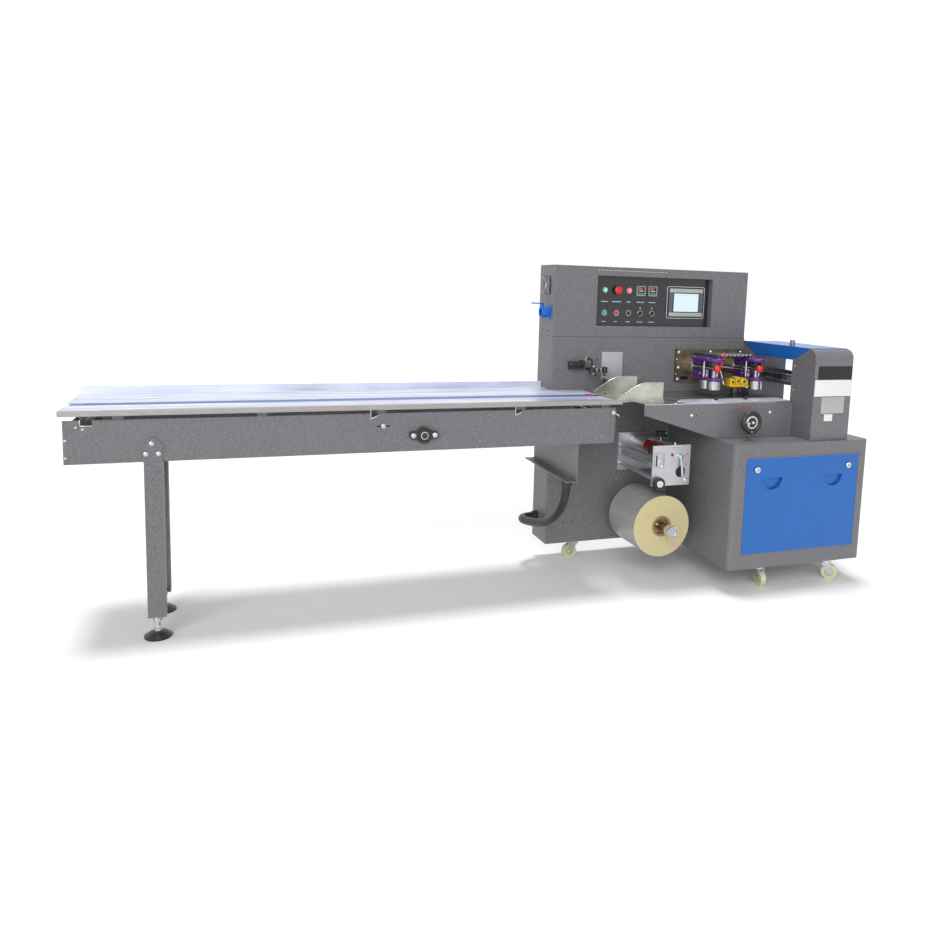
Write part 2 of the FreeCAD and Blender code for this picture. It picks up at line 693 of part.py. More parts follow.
def reel_flange():
    t = REEL_FLANGE_THICKNESS
    flange = rod((REEL_X, -t, REEL_Z), Y, REEL_FLANGE_RADIUS, t)
    return flange.cut(rod((REEL_X, -t, REEL_Z), Y, REEL_SHAFT_RADIUS + FIT, t))


# Infeed conveyor


def infeed_side(face, inward):
    """A folded side plate with its outer face at y = face and its foot turned inward."""
    x0, x1 = LEFT_END + SIDE_SETBACK, SIDE_OVERLAP
    inner = face + SIDE_THICKNESS * inward
    toe = face + SIDE_FLANGE * inward
    ledge = SIDE_BOTTOM + SIDE_THICKNESS
    outline = [
        (x0, face, SIDE_BOTTOM),
        (x0, toe, SIDE_BOTTOM),
        (x0, toe, ledge),
        (x0, inner, ledge),
        (x0, inner, SIDE_TOP),
        (x0, face, SIDE_TOP),
    ]
    plate = prism(outline, X * (x1 - x0))
    hole = rod((DRIVE_SHAFT_X, face, DRIVE_SHAFT_Z), Y * inward, SHAFT_RADIUS + 1, SIDE_THICKNESS)
    return plate.cut(hole)


def infeed_crossmembers():
    """Cross bars on the side plates' feet, and the posts that lift the table above the plates."""
    pieces = []
    ledge = SIDE_BOTTOM + SIDE_THICKNESS
    inner_front, inner_back = SIDE_FRONT + SIDE_THICKNESS, SIDE_BACK - SIDE_THICKNESS
    for x in CROSS_POSITIONS:
        bar = box(x, x + CROSS_WIDTH, inner_front, inner_back, ledge, ledge + CROSS_THICKNESS)
        posts = []
        for y0 in (inner_front, inner_back - POST_THICKNESS):
            posts.append(box(x, x + CROSS_WIDTH, y0, y0 + POST_THICKNESS, ledge, INFEED_TOP - TABLE_SHEET))
        arm_bottom = SIDE_TOP + 2
        arm = box(x, x + CROSS_WIDTH, inner_back - POST_THICKNESS, arm_end(x), arm_bottom, INFEED_TOP - TABLE_SHEET)
        pieces.append(bar.fuse(posts + [arm]))
    return pieces


def arm_end(x):
    return TABLE_BACK - 20 if x + CROSS_WIDTH < 0 else -SEAT - 10


def lane_edges():
    return CENTRE - LANE_WIDTH / 2, CENTRE + LANE_WIDTH / 2


def infeed_table():
    z0, z1 = INFEED_TOP - TABLE_SHEET, INFEED_TOP
    a, b = lane_edges()
    front = box(LEFT_END, INFEED_OVERLAP, SIDE_FRONT, a, z0, z1)
    rear = box(LEFT_END, -SEAT, b, TABLE_BACK, z0, z1)
    tongue = box(-SEAT, INFEED_OVERLAP, b, -SEAT, z0, z1)
    return [front, rear.fuse(tongue)]


def infeed_end_plate():
    x0 = LEFT_END + SIDE_SETBACK
    y0, y1 = SIDE_FRONT + SIDE_THICKNESS, SIDE_BACK - SIDE_THICKNESS
    return box(x0, x0 + SIDE_THICKNESS, y0, y1, SIDE_BOTTOM + SIDE_THICKNESS, SIDE_TOP - END_DROP)


def infeed_rail():
    y1 = SIDE_FRONT
    y0 = y1 - RAIL_WIDTH
    z0, z1 = INFEED_TOP - RAIL_HEIGHT, INFEED_TOP
    bar = box(LEFT_END, RAIL_OVERLAP, y0, y1, z0, z1)
    grooves = []
    for k in range(RAIL_GROOVES):
        z = z0 + (k + 0.5) * RAIL_HEIGHT / RAIL_GROOVES
        grooves.append(box(LEFT_END, RAIL_OVERLAP, y0, y0 + 1.5, z - 1, z + 1))
    return bar.cut(grooves)


def infeed_upstand():
    z = INFEED_TOP
    return box(LEFT_END, -SEAT, TABLE_BACK - UPSTAND_THICKNESS, TABLE_BACK, z, z + UPSTAND_HEIGHT)


def chain_level():
    return INFEED_TOP - TABLE_SHEET - SPROCKET_RADIUS - CHAIN_THICKNESS - CHAIN_DROP


def infeed_chain():
    """The pusher chain: one closed loop round the tail and head sprockets."""
    z = chain_level()
    inner, outer = SPROCKET_RADIUS, SPROCKET_RADIUS + CHAIN_THICKNESS
    y0 = CENTRE - CHAIN_WIDTH / 2
    loops = []
    for r in (outer, inner):
        run = box(CHAIN_TAIL_X, CHAIN_HEAD_X, y0, y0 + CHAIN_WIDTH, z - r, z + r)
        ends = [rod((x, y0, z), Y, r, CHAIN_WIDTH) for x in (CHAIN_TAIL_X, CHAIN_HEAD_X)]
        loops.append(run.fuse(ends))
    return loops[0].cut(loops[1])


def infeed_sprockets():
    pieces = []
    z = chain_level()
    y0, y1 = SIDE_FRONT + SIDE_THICKNESS, SIDE_BACK - SIDE_THICKNESS
    for x in (CHAIN_TAIL_X, CHAIN_HEAD_X):
        wheel = rod((x, CENTRE - CHAIN_WIDTH / 4, z), Y, SPROCKET_RADIUS - SEAT, CHAIN_WIDTH / 2)
        pieces.append(wheel.fuse(rod((x, y0, z), Y, SHAFT_RADIUS, y1 - y0)))
    return pieces


def drive_shaft():
    """The cross shaft and its two-bolt flange bearings, one outside each side plate."""
    y0, y1 = SIDE_FRONT - BEARING_DEPTH - 6, SIDE_BACK + BEARING_DEPTH + 6
    shaft = rod((DRIVE_SHAFT_X, y0, DRIVE_SHAFT_Z), Y, SHAFT_RADIUS, y1 - y0)
    reach = chain_level() - SPROCKET_RADIUS - CHAIN_THICKNESS - DRIVE_SHAFT_Z - SEAT
    bearings = [rod((DRIVE_SHAFT_X, CENTRE - CHAIN_WIDTH / 4, DRIVE_SHAFT_Z), Y, reach, CHAIN_WIDTH / 2)]
    for face in (SIDE_FRONT - BEARING_DEPTH, SIDE_BACK):
        bearings.append(flange_bearing(face))
    return shaft.fuse(bearings)


def flange_bearing(y):
    x, z = DRIVE_SHAFT_X, DRIVE_SHAFT_Z
    body = rod((x, y, z), Y, BEARING_RADIUS, BEARING_DEPTH)
    ears = [rod((x + s * BEARING_REACH, y, z), Y, BEARING_EAR, BEARING_DEPTH) for s in (-1, 1)]
    half = BEARING_EAR * 0.9
    web = box(x - BEARING_REACH, x + BEARING_REACH, y, y + BEARING_DEPTH, z - half, z + half)
    return body.fuse(ears + [web])


def infeed_legs():
    legs = []
    half = LEG_WIDTH / 2
    for face, inward in ((SIDE_FRONT - LEG_WALL, 1), (SIDE_BACK + LEG_WALL, -1)):
        web = [
            (LEG_X - half, face, LEG_BOTTOM),
            (LEG_X - half, face, LEG_SHOULDER),
            (LEG_X - half * 0.35, face, LEG_PEAK),
            (LEG_X + half * 0.35, face, LEG_PEAK),
            (LEG_X + half, face, LEG_SHOULDER),
            (LEG_X + half, face, LEG_BOTTOM),
        ]
        plate = prism(web, Y * LEG_WALL * inward)
        y0, y1 = sorted((face, face + LEG_DEPTH * inward))
        column = box(LEG_X - half, LEG_X + half, y0, y1, LEG_BOTTOM, SIDE_BOTTOM)
        a, b = sorted((face + LEG_WALL * inward, face + (LEG_DEPTH + 1) * inward))
        hollow = box(LEG_X - half + LEG_WALL, LEG_X + half - LEG_WALL, a, b, LEG_BOTTOM + LEG_WALL, SIDE_BOTTOM)
        legs.append(plate.fuse(column).cut(hollow))
    return legs


def foot_depths():
    inset = LEG_DEPTH / 2 - LEG_WALL
    return [SIDE_FRONT + inset, SIDE_BACK - inset]


def levelling_feet():
    feet = []
    for y in foot_depths():
        profile = [
            (0, 0),
            (FOOT_RADIUS, 0),
            (FOOT_RADIUS, 7),
            (FOOT_RADIUS * 0.55, FOOT_HEIGHT - 3),
            (FOOT_STEM_RADIUS + 5, FOOT_HEIGHT),
            (0, FOOT_HEIGHT),
        ]
        wire = Part.makePolygon([Vector(LEG_X + r, y, z) for r, z in profile + profile[:1]])
        pad = Part.Face(wire).revolve(Vector(LEG_X, y, 0), Z, 360)
        stem = rod((LEG_X, y, FOOT_HEIGHT), Z, FOOT_STEM_RADIUS, LEG_BOTTOM - FOOT_HEIGHT)
        nut = rod((LEG_X, y, LEG_BOTTOM - 12), Z, FOOT_STEM_RADIUS + 6, 12)
        feet.append(pad.fuse([stem, nut]))
    return feet


# Bracket and cable conduit


def infeed_bracket():
    """A channel along the main cabinet's left side that carries the infeed conveyor's end."""
    top = SIDE_BOTTOM
    low = top - BRACKET_DROP
    y0 = SIDE_FRONT
    t, w = BRACKET_WALL, BRACKET_WIDTH
    outline = [
        (0, y0, low),
        (-w, y0, low),
        (-w, y0, low + t),
        (-t, y0, low + t),
        (-t, y0, top - t),
        (-w, y0, top - t),
        (-w, y0, top),
        (0, y0, top),
    ]
    return prism(outline, Y * (MAIN_DEPTH - y0))


def hose_route():
    """The conduit's corner points, from the bracket's lip down and round into the cabinet's side."""
    low = SIDE_BOTTOM - BRACKET_DROP - GLAND_HEIGHT
    return [
        Vector(-30, -290, low),
        Vector(-30, -290, low - 60),
        Vector(-38, -225, low - 160),
        Vector(-56, -105, low - 232),
        Vector(-82, 10, low - 256),
        Vector(-96, 85, low - 262),
        Vector(-62, 125, low - 264),
        Vector(-GLAND_HEIGHT, 125, low - 264),
    ]


def route_path(points):
    """Straight runs joined by tangent arcs, each as large as its two runs allow."""
    edges = []
    start = points[0]
    for before, corner, after in zip(points, points[1:], points[2:]):
        run_in, run_out = corner - before, after - corner
        turn = run_in.getAngle(run_out)
        reach = 0.45 * min(run_in.Length, run_out.Length)
        radius = reach / math.tan(turn / 2)
        print("conduit radius %.0f mm, turn %.0f degrees" % (radius, math.degrees(turn)))
        a = corner - run_in.normalize() * reach
        b = corner + run_out.normalize() * reach
        bow = (a + b) / 2 - corner
        centre = corner + bow * ((reach ** 2 + radius ** 2) ** 0.5 / bow.Length)
        middle = centre - bow.normalize() * radius
        edges.append(Part.LineSegment(start, a).toShape())
        edges.append(Part.Arc(a, middle, b).toShape())
        start = b
    edges.append(Part.LineSegment(start, points[-1]).toShape())
    return Part.Wire(edges)


def conduit_hose():
    points = hose_route()
    path = route_path(points)
    ring = Part.Wire(Part.makeCircle(HOSE_RADIUS, points[0], points[1] - points[0]))
    hose = path.makePipeShell([ring], True, False, 1)
    expected = math.pi * HOSE_RADIUS ** 2 * path.Length
    print("conduit length %.0f mm, volume ratio %.4f" % (path.Length, hose.Volume / expected))
    return hose


def hose_glands():
    first, last = hose_route()[0], hose_route()[-1]
    upper = rod((first.x, first.y, first.z), Z, GLAND_RADIUS, GLAND_HEIGHT)
    lower = rod((last.x, last.y, last.z), X, GLAND_RADIUS, GLAND_HEIGHT)
    return [upper, lower]


# Print mark sensor on its jointed arm


def sensor_arm():
    """The sensor body on the cabinet, and a jointed arm down to the edge of the infeed table."""
    z = SENSOR_HEIGHT
    right = SENSOR_LEFT + SENSOR_LENGTH
    body = box(SENSOR_LEFT, right, -SENSOR_DEPTH, 0, z, z + SENSOR_BODY_HEIGHT)
    y = -SENSOR_REACH
    elbow = SENSOR_ARM_X + SENSOR_LINK
    post = rod((SENSOR_ARM_X, y, z), Y, SENSOR_ROD_RADIUS, SENSOR_REACH)
    link = rod((SENSOR_ARM_X, y, z), X, SENSOR_ROD_RADIUS, SENSOR_LINK)
    foot = TABLE_HEIGHT + BOX_BASE + SEAT
    drop = rod((elbow, y, foot), Z, SENSOR_ROD_RADIUS, z - foot)
    below = z - SENSOR_KNUCKLE_HEIGHT / 2
    arm = post.fuse([link, drop])
    for x in (SENSOR_ARM_X, elbow):
        arm = arm.fuse(rod((x, y, below), Z, SENSOR_KNUCKLE_RADIUS, SENSOR_KNUCKLE_HEIGHT))
    return [body, arm]


# Castors


def castor_place(name, shape):
    x, y, heading = CASTORS[name]
    shape.rotate(Vector(0, 0, 0), Z, heading)
    shape.translate(Vector(x, y, 0))
    return shape


def fork_top():
    return CABINET_BOTTOM - CASTOR_PLATE_THICKNESS - SEAT


def castor_plates():
    plates = []
    half = CASTOR_PLATE_SIDE / 2
    for x, y, heading in CASTORS.values():
        z1 = CABINET_BOTTOM
        plates.append(box(x - half, x + half, y - half, y + half, z1 - CASTOR_PLATE_THICKNESS, z1))
    return plates


def castor_fork(name):
    r = CASTOR_WHEEL_RADIUS
    top = fork_top()
    crown = 2 * r + CASTOR_FORK_GAP
    head = rod((0, 0, crown), Z, CASTOR_HEAD_RADIUS, top - crown)
    inner = CASTOR_WHEEL_WIDTH / 2 + 1
    legs = []
    for side in (-1, 1):
        y = side * inner if side > 0 else -inner - CASTOR_FORK_WALL
        outline = [
            (CASTOR_HEAD_RADIUS - 6, y, crown + 6),
            (-CASTOR_HEAD_RADIUS - 2, y, crown + 6),
            (-CASTOR_TRAIL - 11, y, r - 9),
            (-CASTOR_TRAIL + 9, y, r - 9),
        ]
        legs.append(prism(outline, Y * CASTOR_FORK_WALL))
    axle = rod((-CASTOR_TRAIL, -inner - CASTOR_FORK_WALL - 3, r), Y, CASTOR_AXLE_RADIUS, 2 * (inner + CASTOR_FORK_WALL + 3))
    return castor_place(name, head.fuse(legs + [axle]))


def castor_wheel(name):
    half = CASTOR_WHEEL_WIDTH / 2
    centre = (-CASTOR_TRAIL, -half, CASTOR_WHEEL_RADIUS)
    wheel = tube(centre, Y, CASTOR_WHEEL_RADIUS, CASTOR_AXLE_RADIUS + FIT, CASTOR_WHEEL_WIDTH)
    return castor_place(name, wheel)


def solids():
    """Every node by name, each as a list of its solids."""
    nodes = {
        "main_cabinet": [main_cabinet()],
        "cabinet_head": [cabinet_head()],
        "control_panel": [control_panel()],
        "control_buttons": control_buttons(),
        "touch_screen": [touch_screen()],
        "fan_guard": [fan_guard()],
        "power_inlet": [power_inlet()],
        "inlet_lid": [inlet_lid()],
        "lower_cabinet": [lower_cabinet()],
        "door_panel": [door_panel()],
        "work_table": [work_table()],
        "table_cover": [table_cover()],
        "handwheel": [handwheel()],
        "forming_box": [forming_box()],
        "fin_mount": [fin_mount()],
        "fin_guides": fin_guides(),
        "seal_housing": seal_housing(),
        "seal_cover": [seal_cover()],
        "crimp_shaft_upper": [crimp_shaft(CRIMP_UPPER_HEIGHT)],
        "crimp_shaft_lower": [crimp_shaft(CRIMP_LOWER_HEIGHT)],
        "film_unit": [film_unit()],
        "draw_roller": [draw_roller()],
        "film_lever": [film_lever()],
        "film_roll": [film_roll()],
        "reel_shaft": [reel_shaft()],
        "reel_flange": [reel_flange()],
        "infeed_side_front": [infeed_side(SIDE_FRONT, 1)],
        "infeed_side_rear": [infeed_side(SIDE_BACK, -1)],
        "infeed_crossmembers": infeed_crossmembers(),
        "infeed_end_plate": [infeed_end_plate()],
        "infeed_table": infeed_table(),
        "infeed_rail": [infeed_rail()],
        "infeed_upstand": [infeed_upstand()],
        "infeed_chain": [infeed_chain()],
        "infeed_sprockets": infeed_sprockets(),
        "infeed_drive_shaft": [drive_shaft()],
        "infeed_legs": infeed_legs(),
        "levelling_feet": levelling_feet(),
        "infeed_bracket": [infeed_bracket()],
        "conduit_hose": [conduit_hose()],
        "hose_glands": hose_glands(),
        "sensor_arm": sensor_arm(),
        "castor_plates": castor_plates(),
    }
    for unit, x in zip(("infeed", "outfeed"), fin_centres()):
        nodes["fin_unit_" + unit] = [fin_unit(x)]
        for side, y in wheel_depths().items():
            nodes["fin_wheel_" + unit + "_" + side] = [fin_wheel(x, y)]
    for name in CASTORS:
        nodes["castor_fork_" + name] = [castor_fork(name)]
        nodes["castor_wheel_" + name] = [castor_wheel(name)]
    return nodes


os.makedirs("parts", exist_ok=True)
for node, pieces in solids().items():
    save(node, *pieces)
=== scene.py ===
import bmesh
import bpy
import math
from mathutils import Euler, Matrix, Vector


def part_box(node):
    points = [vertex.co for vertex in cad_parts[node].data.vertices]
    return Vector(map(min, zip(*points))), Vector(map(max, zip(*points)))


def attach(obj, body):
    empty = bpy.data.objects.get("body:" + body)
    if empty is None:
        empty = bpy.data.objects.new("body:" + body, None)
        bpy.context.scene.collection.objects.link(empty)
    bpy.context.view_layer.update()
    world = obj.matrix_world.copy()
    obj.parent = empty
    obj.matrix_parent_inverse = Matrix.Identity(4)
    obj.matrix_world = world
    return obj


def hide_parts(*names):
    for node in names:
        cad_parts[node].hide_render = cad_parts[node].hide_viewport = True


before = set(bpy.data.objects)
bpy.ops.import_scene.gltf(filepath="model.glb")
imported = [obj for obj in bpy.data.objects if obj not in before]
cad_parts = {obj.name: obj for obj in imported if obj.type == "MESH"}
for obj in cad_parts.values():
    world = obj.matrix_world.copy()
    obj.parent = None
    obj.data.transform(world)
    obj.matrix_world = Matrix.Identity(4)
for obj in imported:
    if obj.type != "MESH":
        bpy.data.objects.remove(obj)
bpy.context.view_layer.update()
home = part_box("main_cabinet")[0]


def place(point):
    """A point in millimetres from the main cabinet's front left corner at floor level, in metres."""
    x, y, z = point
    return Vector((home.x + x / 1000, home.y + y / 1000, z / 1000))


def span(node):
    """The lowest and highest corners of a node, in the same millimetres."""
    shift = Vector((home.x, home.y, 0))
    return [(corner - shift) * 1000 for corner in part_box(node)]


# Studio
# A pale floor under a white sky, one soft lamp overhead and one from the operator's side.
# The camera stands in front of the infeed end and looks along the machine to its right.

LENS, SHIFT_X, SHIFT_Y = 30.98, -0.0571, -0.0824
CAMERA_AT = (-1433, -3467, 1338)
YAW, PITCH, ROLL = math.radians(20.11), math.radians(-7.16), math.radians(1.78)

camera_data = bpy.data.cameras.new("studio_camera")
camera_data.lens = LENS
camera_data.shift_x = SHIFT_X
camera_data.shift_y = SHIFT_Y
camera = bpy.data.objects.new("studio_camera", camera_data)
aim = Vector((math.sin(YAW), math.cos(YAW), math.tan(PITCH))).to_track_quat("-Z", "Y").to_matrix().to_4x4()
camera.matrix_world = Matrix.Translation(place(CAMERA_AT)) @ aim @ Matrix.Rotation(ROLL, 4, "Z")
bpy.context.scene.collection.objects.link(camera)
bpy.context.scene.camera = camera
bpy.context.scene.view_settings.view_transform = "Standard"

for name, strength, spread, tilt, turn in (("overhead", 1.75, 13, -6, 20), ("operator_side", 1.75, 45, 66, -30)):
    sun = bpy.data.lights.new(name + "_lamp", "SUN")
    sun.energy = strength
    sun.angle = math.radians(spread)
    lamp = bpy.data.objects.new(name + "_lamp", sun)
    lamp.rotation_euler = Euler((math.radians(tilt), 0, math.radians(turn)))
    bpy.context.scene.collection.objects.link(lamp)


class Value:
    """A shader value of one finish: sums and products of values become Math nodes."""

    def __init__(self, finish, socket):
        self.finish = finish
        self.socket = socket

    def calc(self, operation, *operands):
        return self.finish.node("ShaderNodeMath", {"operation": operation}, dict(enumerate(operands)))

    def __add__(self, other):
        return self.calc("ADD", self, other)

    def __sub__(self, other):
        return self.calc("SUBTRACT", self, other)

    def __rsub__(self, other):
        return self.calc("SUBTRACT", other, self)

    def __mul__(self, other):
        return self.calc("MULTIPLY", self, other)

    def __abs__(self):
        return self.calc("ABSOLUTE", self)

    def root(self):
        return self.calc("SQRT", self)

    def wave(self):
        return self.calc("SINE", self)

    def either(self, other):
        return self.calc("MAXIMUM", self, other)

    __radd__ = __add__
    __rmul__ = __mul__


class Finish:
    """A material that ends in one Principled shader."""

    def __init__(self, name, roughness=0.5, metallic=0.0, coat=0.0):
        self.material = bpy.data.materials.new(name)
        self.material.use_nodes = True
        self.tree = self.material.node_tree
        self.tree.nodes.clear()
        self.shader = self.tree.nodes.new("ShaderNodeBsdfPrincipled")
        end = self.tree.nodes.new("ShaderNodeOutputMaterial")
        self.tree.links.new(self.shader.outputs[0], end.inputs[0])
        self.set("Roughness", roughness)
        self.set("Metallic", metallic)
        self.set("Coat Weight", coat)
        self.at = Value(self, self.tree.nodes.new("ShaderNodeTexCoord").outputs["Object"])

    def put(self, socket, value):
        if isinstance(value, Value):
            self.tree.links.new(value.socket, socket)
        elif isinstance(value, tuple) and len(socket.default_value) == 4:
            socket.default_value = (*value, 1.0)
        else:
            socket.default_value = value

    def set(self, name, value):
        self.put(self.shader.inputs[name], value)

    def node(self, kind, settings, inputs, output=0):
        made = self.tree.nodes.new(kind)
        for name, value in settings.items():
            setattr(made, name, value)
        for key, value in inputs.items():
            self.put(made.inputs[key], value)
        return Value(self, made.outputs[output])

    def axis(self, name):
        """How far the surface lies along x, y or z, in millimetres from the cabinet's corner."""
        shift = {"X": home.x, "Y": home.y, "Z": 0.0}[name]
        return (self.node("ShaderNodeSeparateXYZ", {}, {0: self.at}, name) - shift) * 1000.0

    def noise(self, scale, detail=2.0, along=(1, 1, 1)):
        stretched = self.node("ShaderNodeVectorMath", {"operation": "MULTIPLY"}, {0: self.at, 1: along})
        return self.node("ShaderNodeTexNoise", {}, {"Vector": stretched, "Scale": scale, "Detail": detail})

    def step(self, value, low, high):
        inputs = {"Value": value, "From Min": float(low), "From Max": float(high)}
        return self.node("ShaderNodeMapRange", {"interpolation_type": "SMOOTHSTEP"}, inputs)

    def between(self, value, low, high, soft=0.4):
        return self.step(value, low - soft, low + soft) * self.step(value, high + soft, high - soft)

    def reach(self, names, middle):
        """The distance from the line through middle that is square to the two named axes."""
        across = [self.axis(name) - offset for name, offset in zip(names, middle)]
        return (across[0] * across[0] + across[1] * across[1]).root()

    def mix(self, mask, a, b):
        return self.node("ShaderNodeMix", {"data_type": "RGBA"}, {0: mask, 6: a, 7: b}, 2)

    def bump(self, height, depth, strength=1.0):
        inputs = {"Height": height, "Distance": depth, "Strength": strength}
        self.set("Normal", self.node("ShaderNodeBump", {}, inputs))

    def dress(self, *nodes):
        for node in nodes:
            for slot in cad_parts[node].material_slots:
                slot.material = self.material


def plain_finish(name, color, roughness, metallic=0.0, scale=180.0, spread=0.22, along=(1, 1, 1), glow=0.0, relief=0.0):
    """A finish whose colour and gloss vary with one grain."""
    made = Finish(name, roughness, metallic)
    grain = made.noise(scale, 3.0, along)
    dark, light = [tuple(min(1.0, part * (1 + sign * spread)) for part in color) for sign in (-1.6, 1.6)]
    tone = made.mix(grain, dark, light)
    made.set("Base Color", tone)
    made.set("Roughness", grain * (roughness * 0.9) + roughness * 0.55)
    if glow:
        made.set("Emission Color", tone)
        made.set("Emission Strength", glow)
    if relief:
        made.bump(grain, relief)
    return made


sky = bpy.data.worlds.new("white_sky")
sky.use_nodes = True
bpy.context.scene.world = sky
sky_nodes, join = sky.node_tree.nodes, sky.node_tree.links.new
sky_nodes.clear()
rays = sky_nodes.new("ShaderNodeLightPath")
seen = rays.outputs["Is Camera Ray"]
for kind in ("Is Glossy Ray", "Is Transmission Ray"):
    either = sky_nodes.new("ShaderNodeMath")
    either.operation = "MAXIMUM"
    join(seen, either.inputs[0])
    join(rays.outputs[kind], either.inputs[1])
    seen = either.outputs[0]
sky_mix = sky_nodes.new("ShaderNodeMixShader")
join(seen, sky_mix.inputs[0])
for socket, strength in ((1, 0.4), (2, 1.0)):
    glow = sky_nodes.new("ShaderNodeBackground")
    glow.inputs["Color"].default_value = (1, 1, 1, 1)
    glow.inputs["Strength"].default_value = strength
    join(glow.outputs[0], sky_mix.inputs[socket])
join(sky_mix.outputs[0], sky_nodes.new("ShaderNodeOutputWorld").inputs[0])

floor_mesh = bmesh.new()
bmesh.ops.create_grid(floor_mesh, x_segments=4, y_segments=4, size=40)
floor_data = bpy.data.meshes.new("studio_floor")
floor_mesh.to_mesh(floor_data)
floor = bpy.data.objects.new("studio_floor", floor_data)
bpy.context.scene.collection.objects.link(floor)
floor_data.materials.append(plain_finish("pale_floor", (0.975, 0.975, 0.975), 0.9, scale=0.7, spread=0.003).material)


# Cable conduit
# Black plastic conduit for the drive cables. It hangs from the gland under the infeed bracket
# and goes back into the side of the main cabinet.

CONDUIT_RADIUS = 0.020
CONDUIT_ROUTE = (
    (-30, -290, 483),
    (-30, -290, 423),
    (-38, -225, 323),
    (-56, -105, 251),
    (-82, 10, 227),
    (-96, 85, 221),
    (-62, 125, 219),
    (-18, 125, 219),
)

conduit_data = bpy.data.curves.new("drive_cable_conduit", "CURVE")
conduit_data.dimensions = "3D"
conduit_data.bevel_depth = CONDUIT_RADIUS
conduit_data.bevel_resolution = 6
conduit_data.resolution_u = 10
conduit_data.use_fill_caps = True
run = conduit_data.splines.new("NURBS")
run.points.add(len(CONDUIT_ROUTE) - 1)
for knot, corner in zip(run.points, CONDUIT_ROUTE):
    knot.co = (*place(corner), 1)
run.order_u = 3
run.use_endpoint_u = True
conduit = bpy.data.objects.new("drive_cable_conduit", conduit_data)
bpy.context.scene.collection.objects.link(conduit)
conduit_data.materials.append(
    plain_finish("conduit_black", (0.014, 0.014, 0.016), 0.42, scale=260.0, spread=0.4, relief=0.0006).material)
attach(conduit, "root")
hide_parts("conduit_hose")


# Painted cabinets and infeed frame
# Folded sheet steel, sprayed with a grey hammer finish: a darker network round small lighter
# dimples with a faint gloss. The sheets meet below the control panel, where a near-black line
# is painted as the shade in the gap between them.

SEAM_LEVEL = span("cabinet_head")[0].z
VENT_LOW, VENT_HIGH = 1430.0, 1437.0


def hammered(finish):
    """The colour, roughness and relief of the grey hammer paint."""
    inputs = {"Vector": finish.at, "Scale": 210.0}
    dimples = finish.node("ShaderNodeTexVoronoi", {"feature": "SMOOTH_F1"}, inputs)
    speckle = finish.noise(400.0, 3.0)
    clouds = finish.noise(2.4, 2.0)
    grain = finish.step(dimples * 0.55 + speckle * 0.9, 0.42, 0.98)
    tone = finish.mix(grain, (0.098, 0.096, 0.104), (0.195, 0.192, 0.205))
    tone = finish.mix(finish.step(clouds, 0.35, 0.75) * 0.3, tone, (0.168, 0.165, 0.178))
    return tone, speckle * 0.22 + 0.34, dimples


hammer = Finish("hammer_grey_paint", 0.42)
paint_tone, paint_gloss, paint_relief = hammered(hammer)
# Painted shade: a near-black line at the seam level stands for the shade in the gap between head and cabinet.
seam_gap_shade = hammer.between(hammer.axis("Z"), SEAM_LEVEL - 0.9, SEAM_LEVEL + 0.9)
paint_tone = hammer.mix(seam_gap_shade, paint_tone, (0.012, 0.012, 0.013))
vents = hammer.between(hammer.axis("Z"), VENT_LOW, VENT_HIGH) * hammer.between(hammer.axis("Y"), 2.6, 3.4, 0.2)
hammer.set("Base Color", hammer.mix(vents, paint_tone, (0.72, 0.73, 0.75)))
hammer.set("Roughness", paint_gloss)
hammer.bump(paint_relief, 0.0008, 0.7)
hammer.dress("main_cabinet", "cabinet_head", "lower_cabinet", "seal_housing", "infeed_side_front",
             "infeed_side_rear", "infeed_crossmembers", "infeed_end_plate", "infeed_legs", "infeed_bracket")


def rounded(u0, u1, v0, v1, radius, steps=4):
    """A rectangle with round corners."""
    corners = ((u1, v1, -1, -1, 0), (u0, v1, 1, -1, 90), (u0, v0, 1, 1, 180), (u1, v0, -1, 1, 270))
    outline = []
    for u, v, side_u, side_v, start in corners:
        for k in range(steps + 1):
            a = math.radians(start + 90 * k / steps)
            outline.append((u + radius * (side_u + math.cos(a)), v + radius * (side_v + math.sin(a))))
    return outline


def circle(u, v, radius, steps=32):
    turns = [2 * math.pi * k / steps for k in range(steps)]
    return [(u + radius * math.cos(a), v + radius * math.sin(a)) for a in turns]


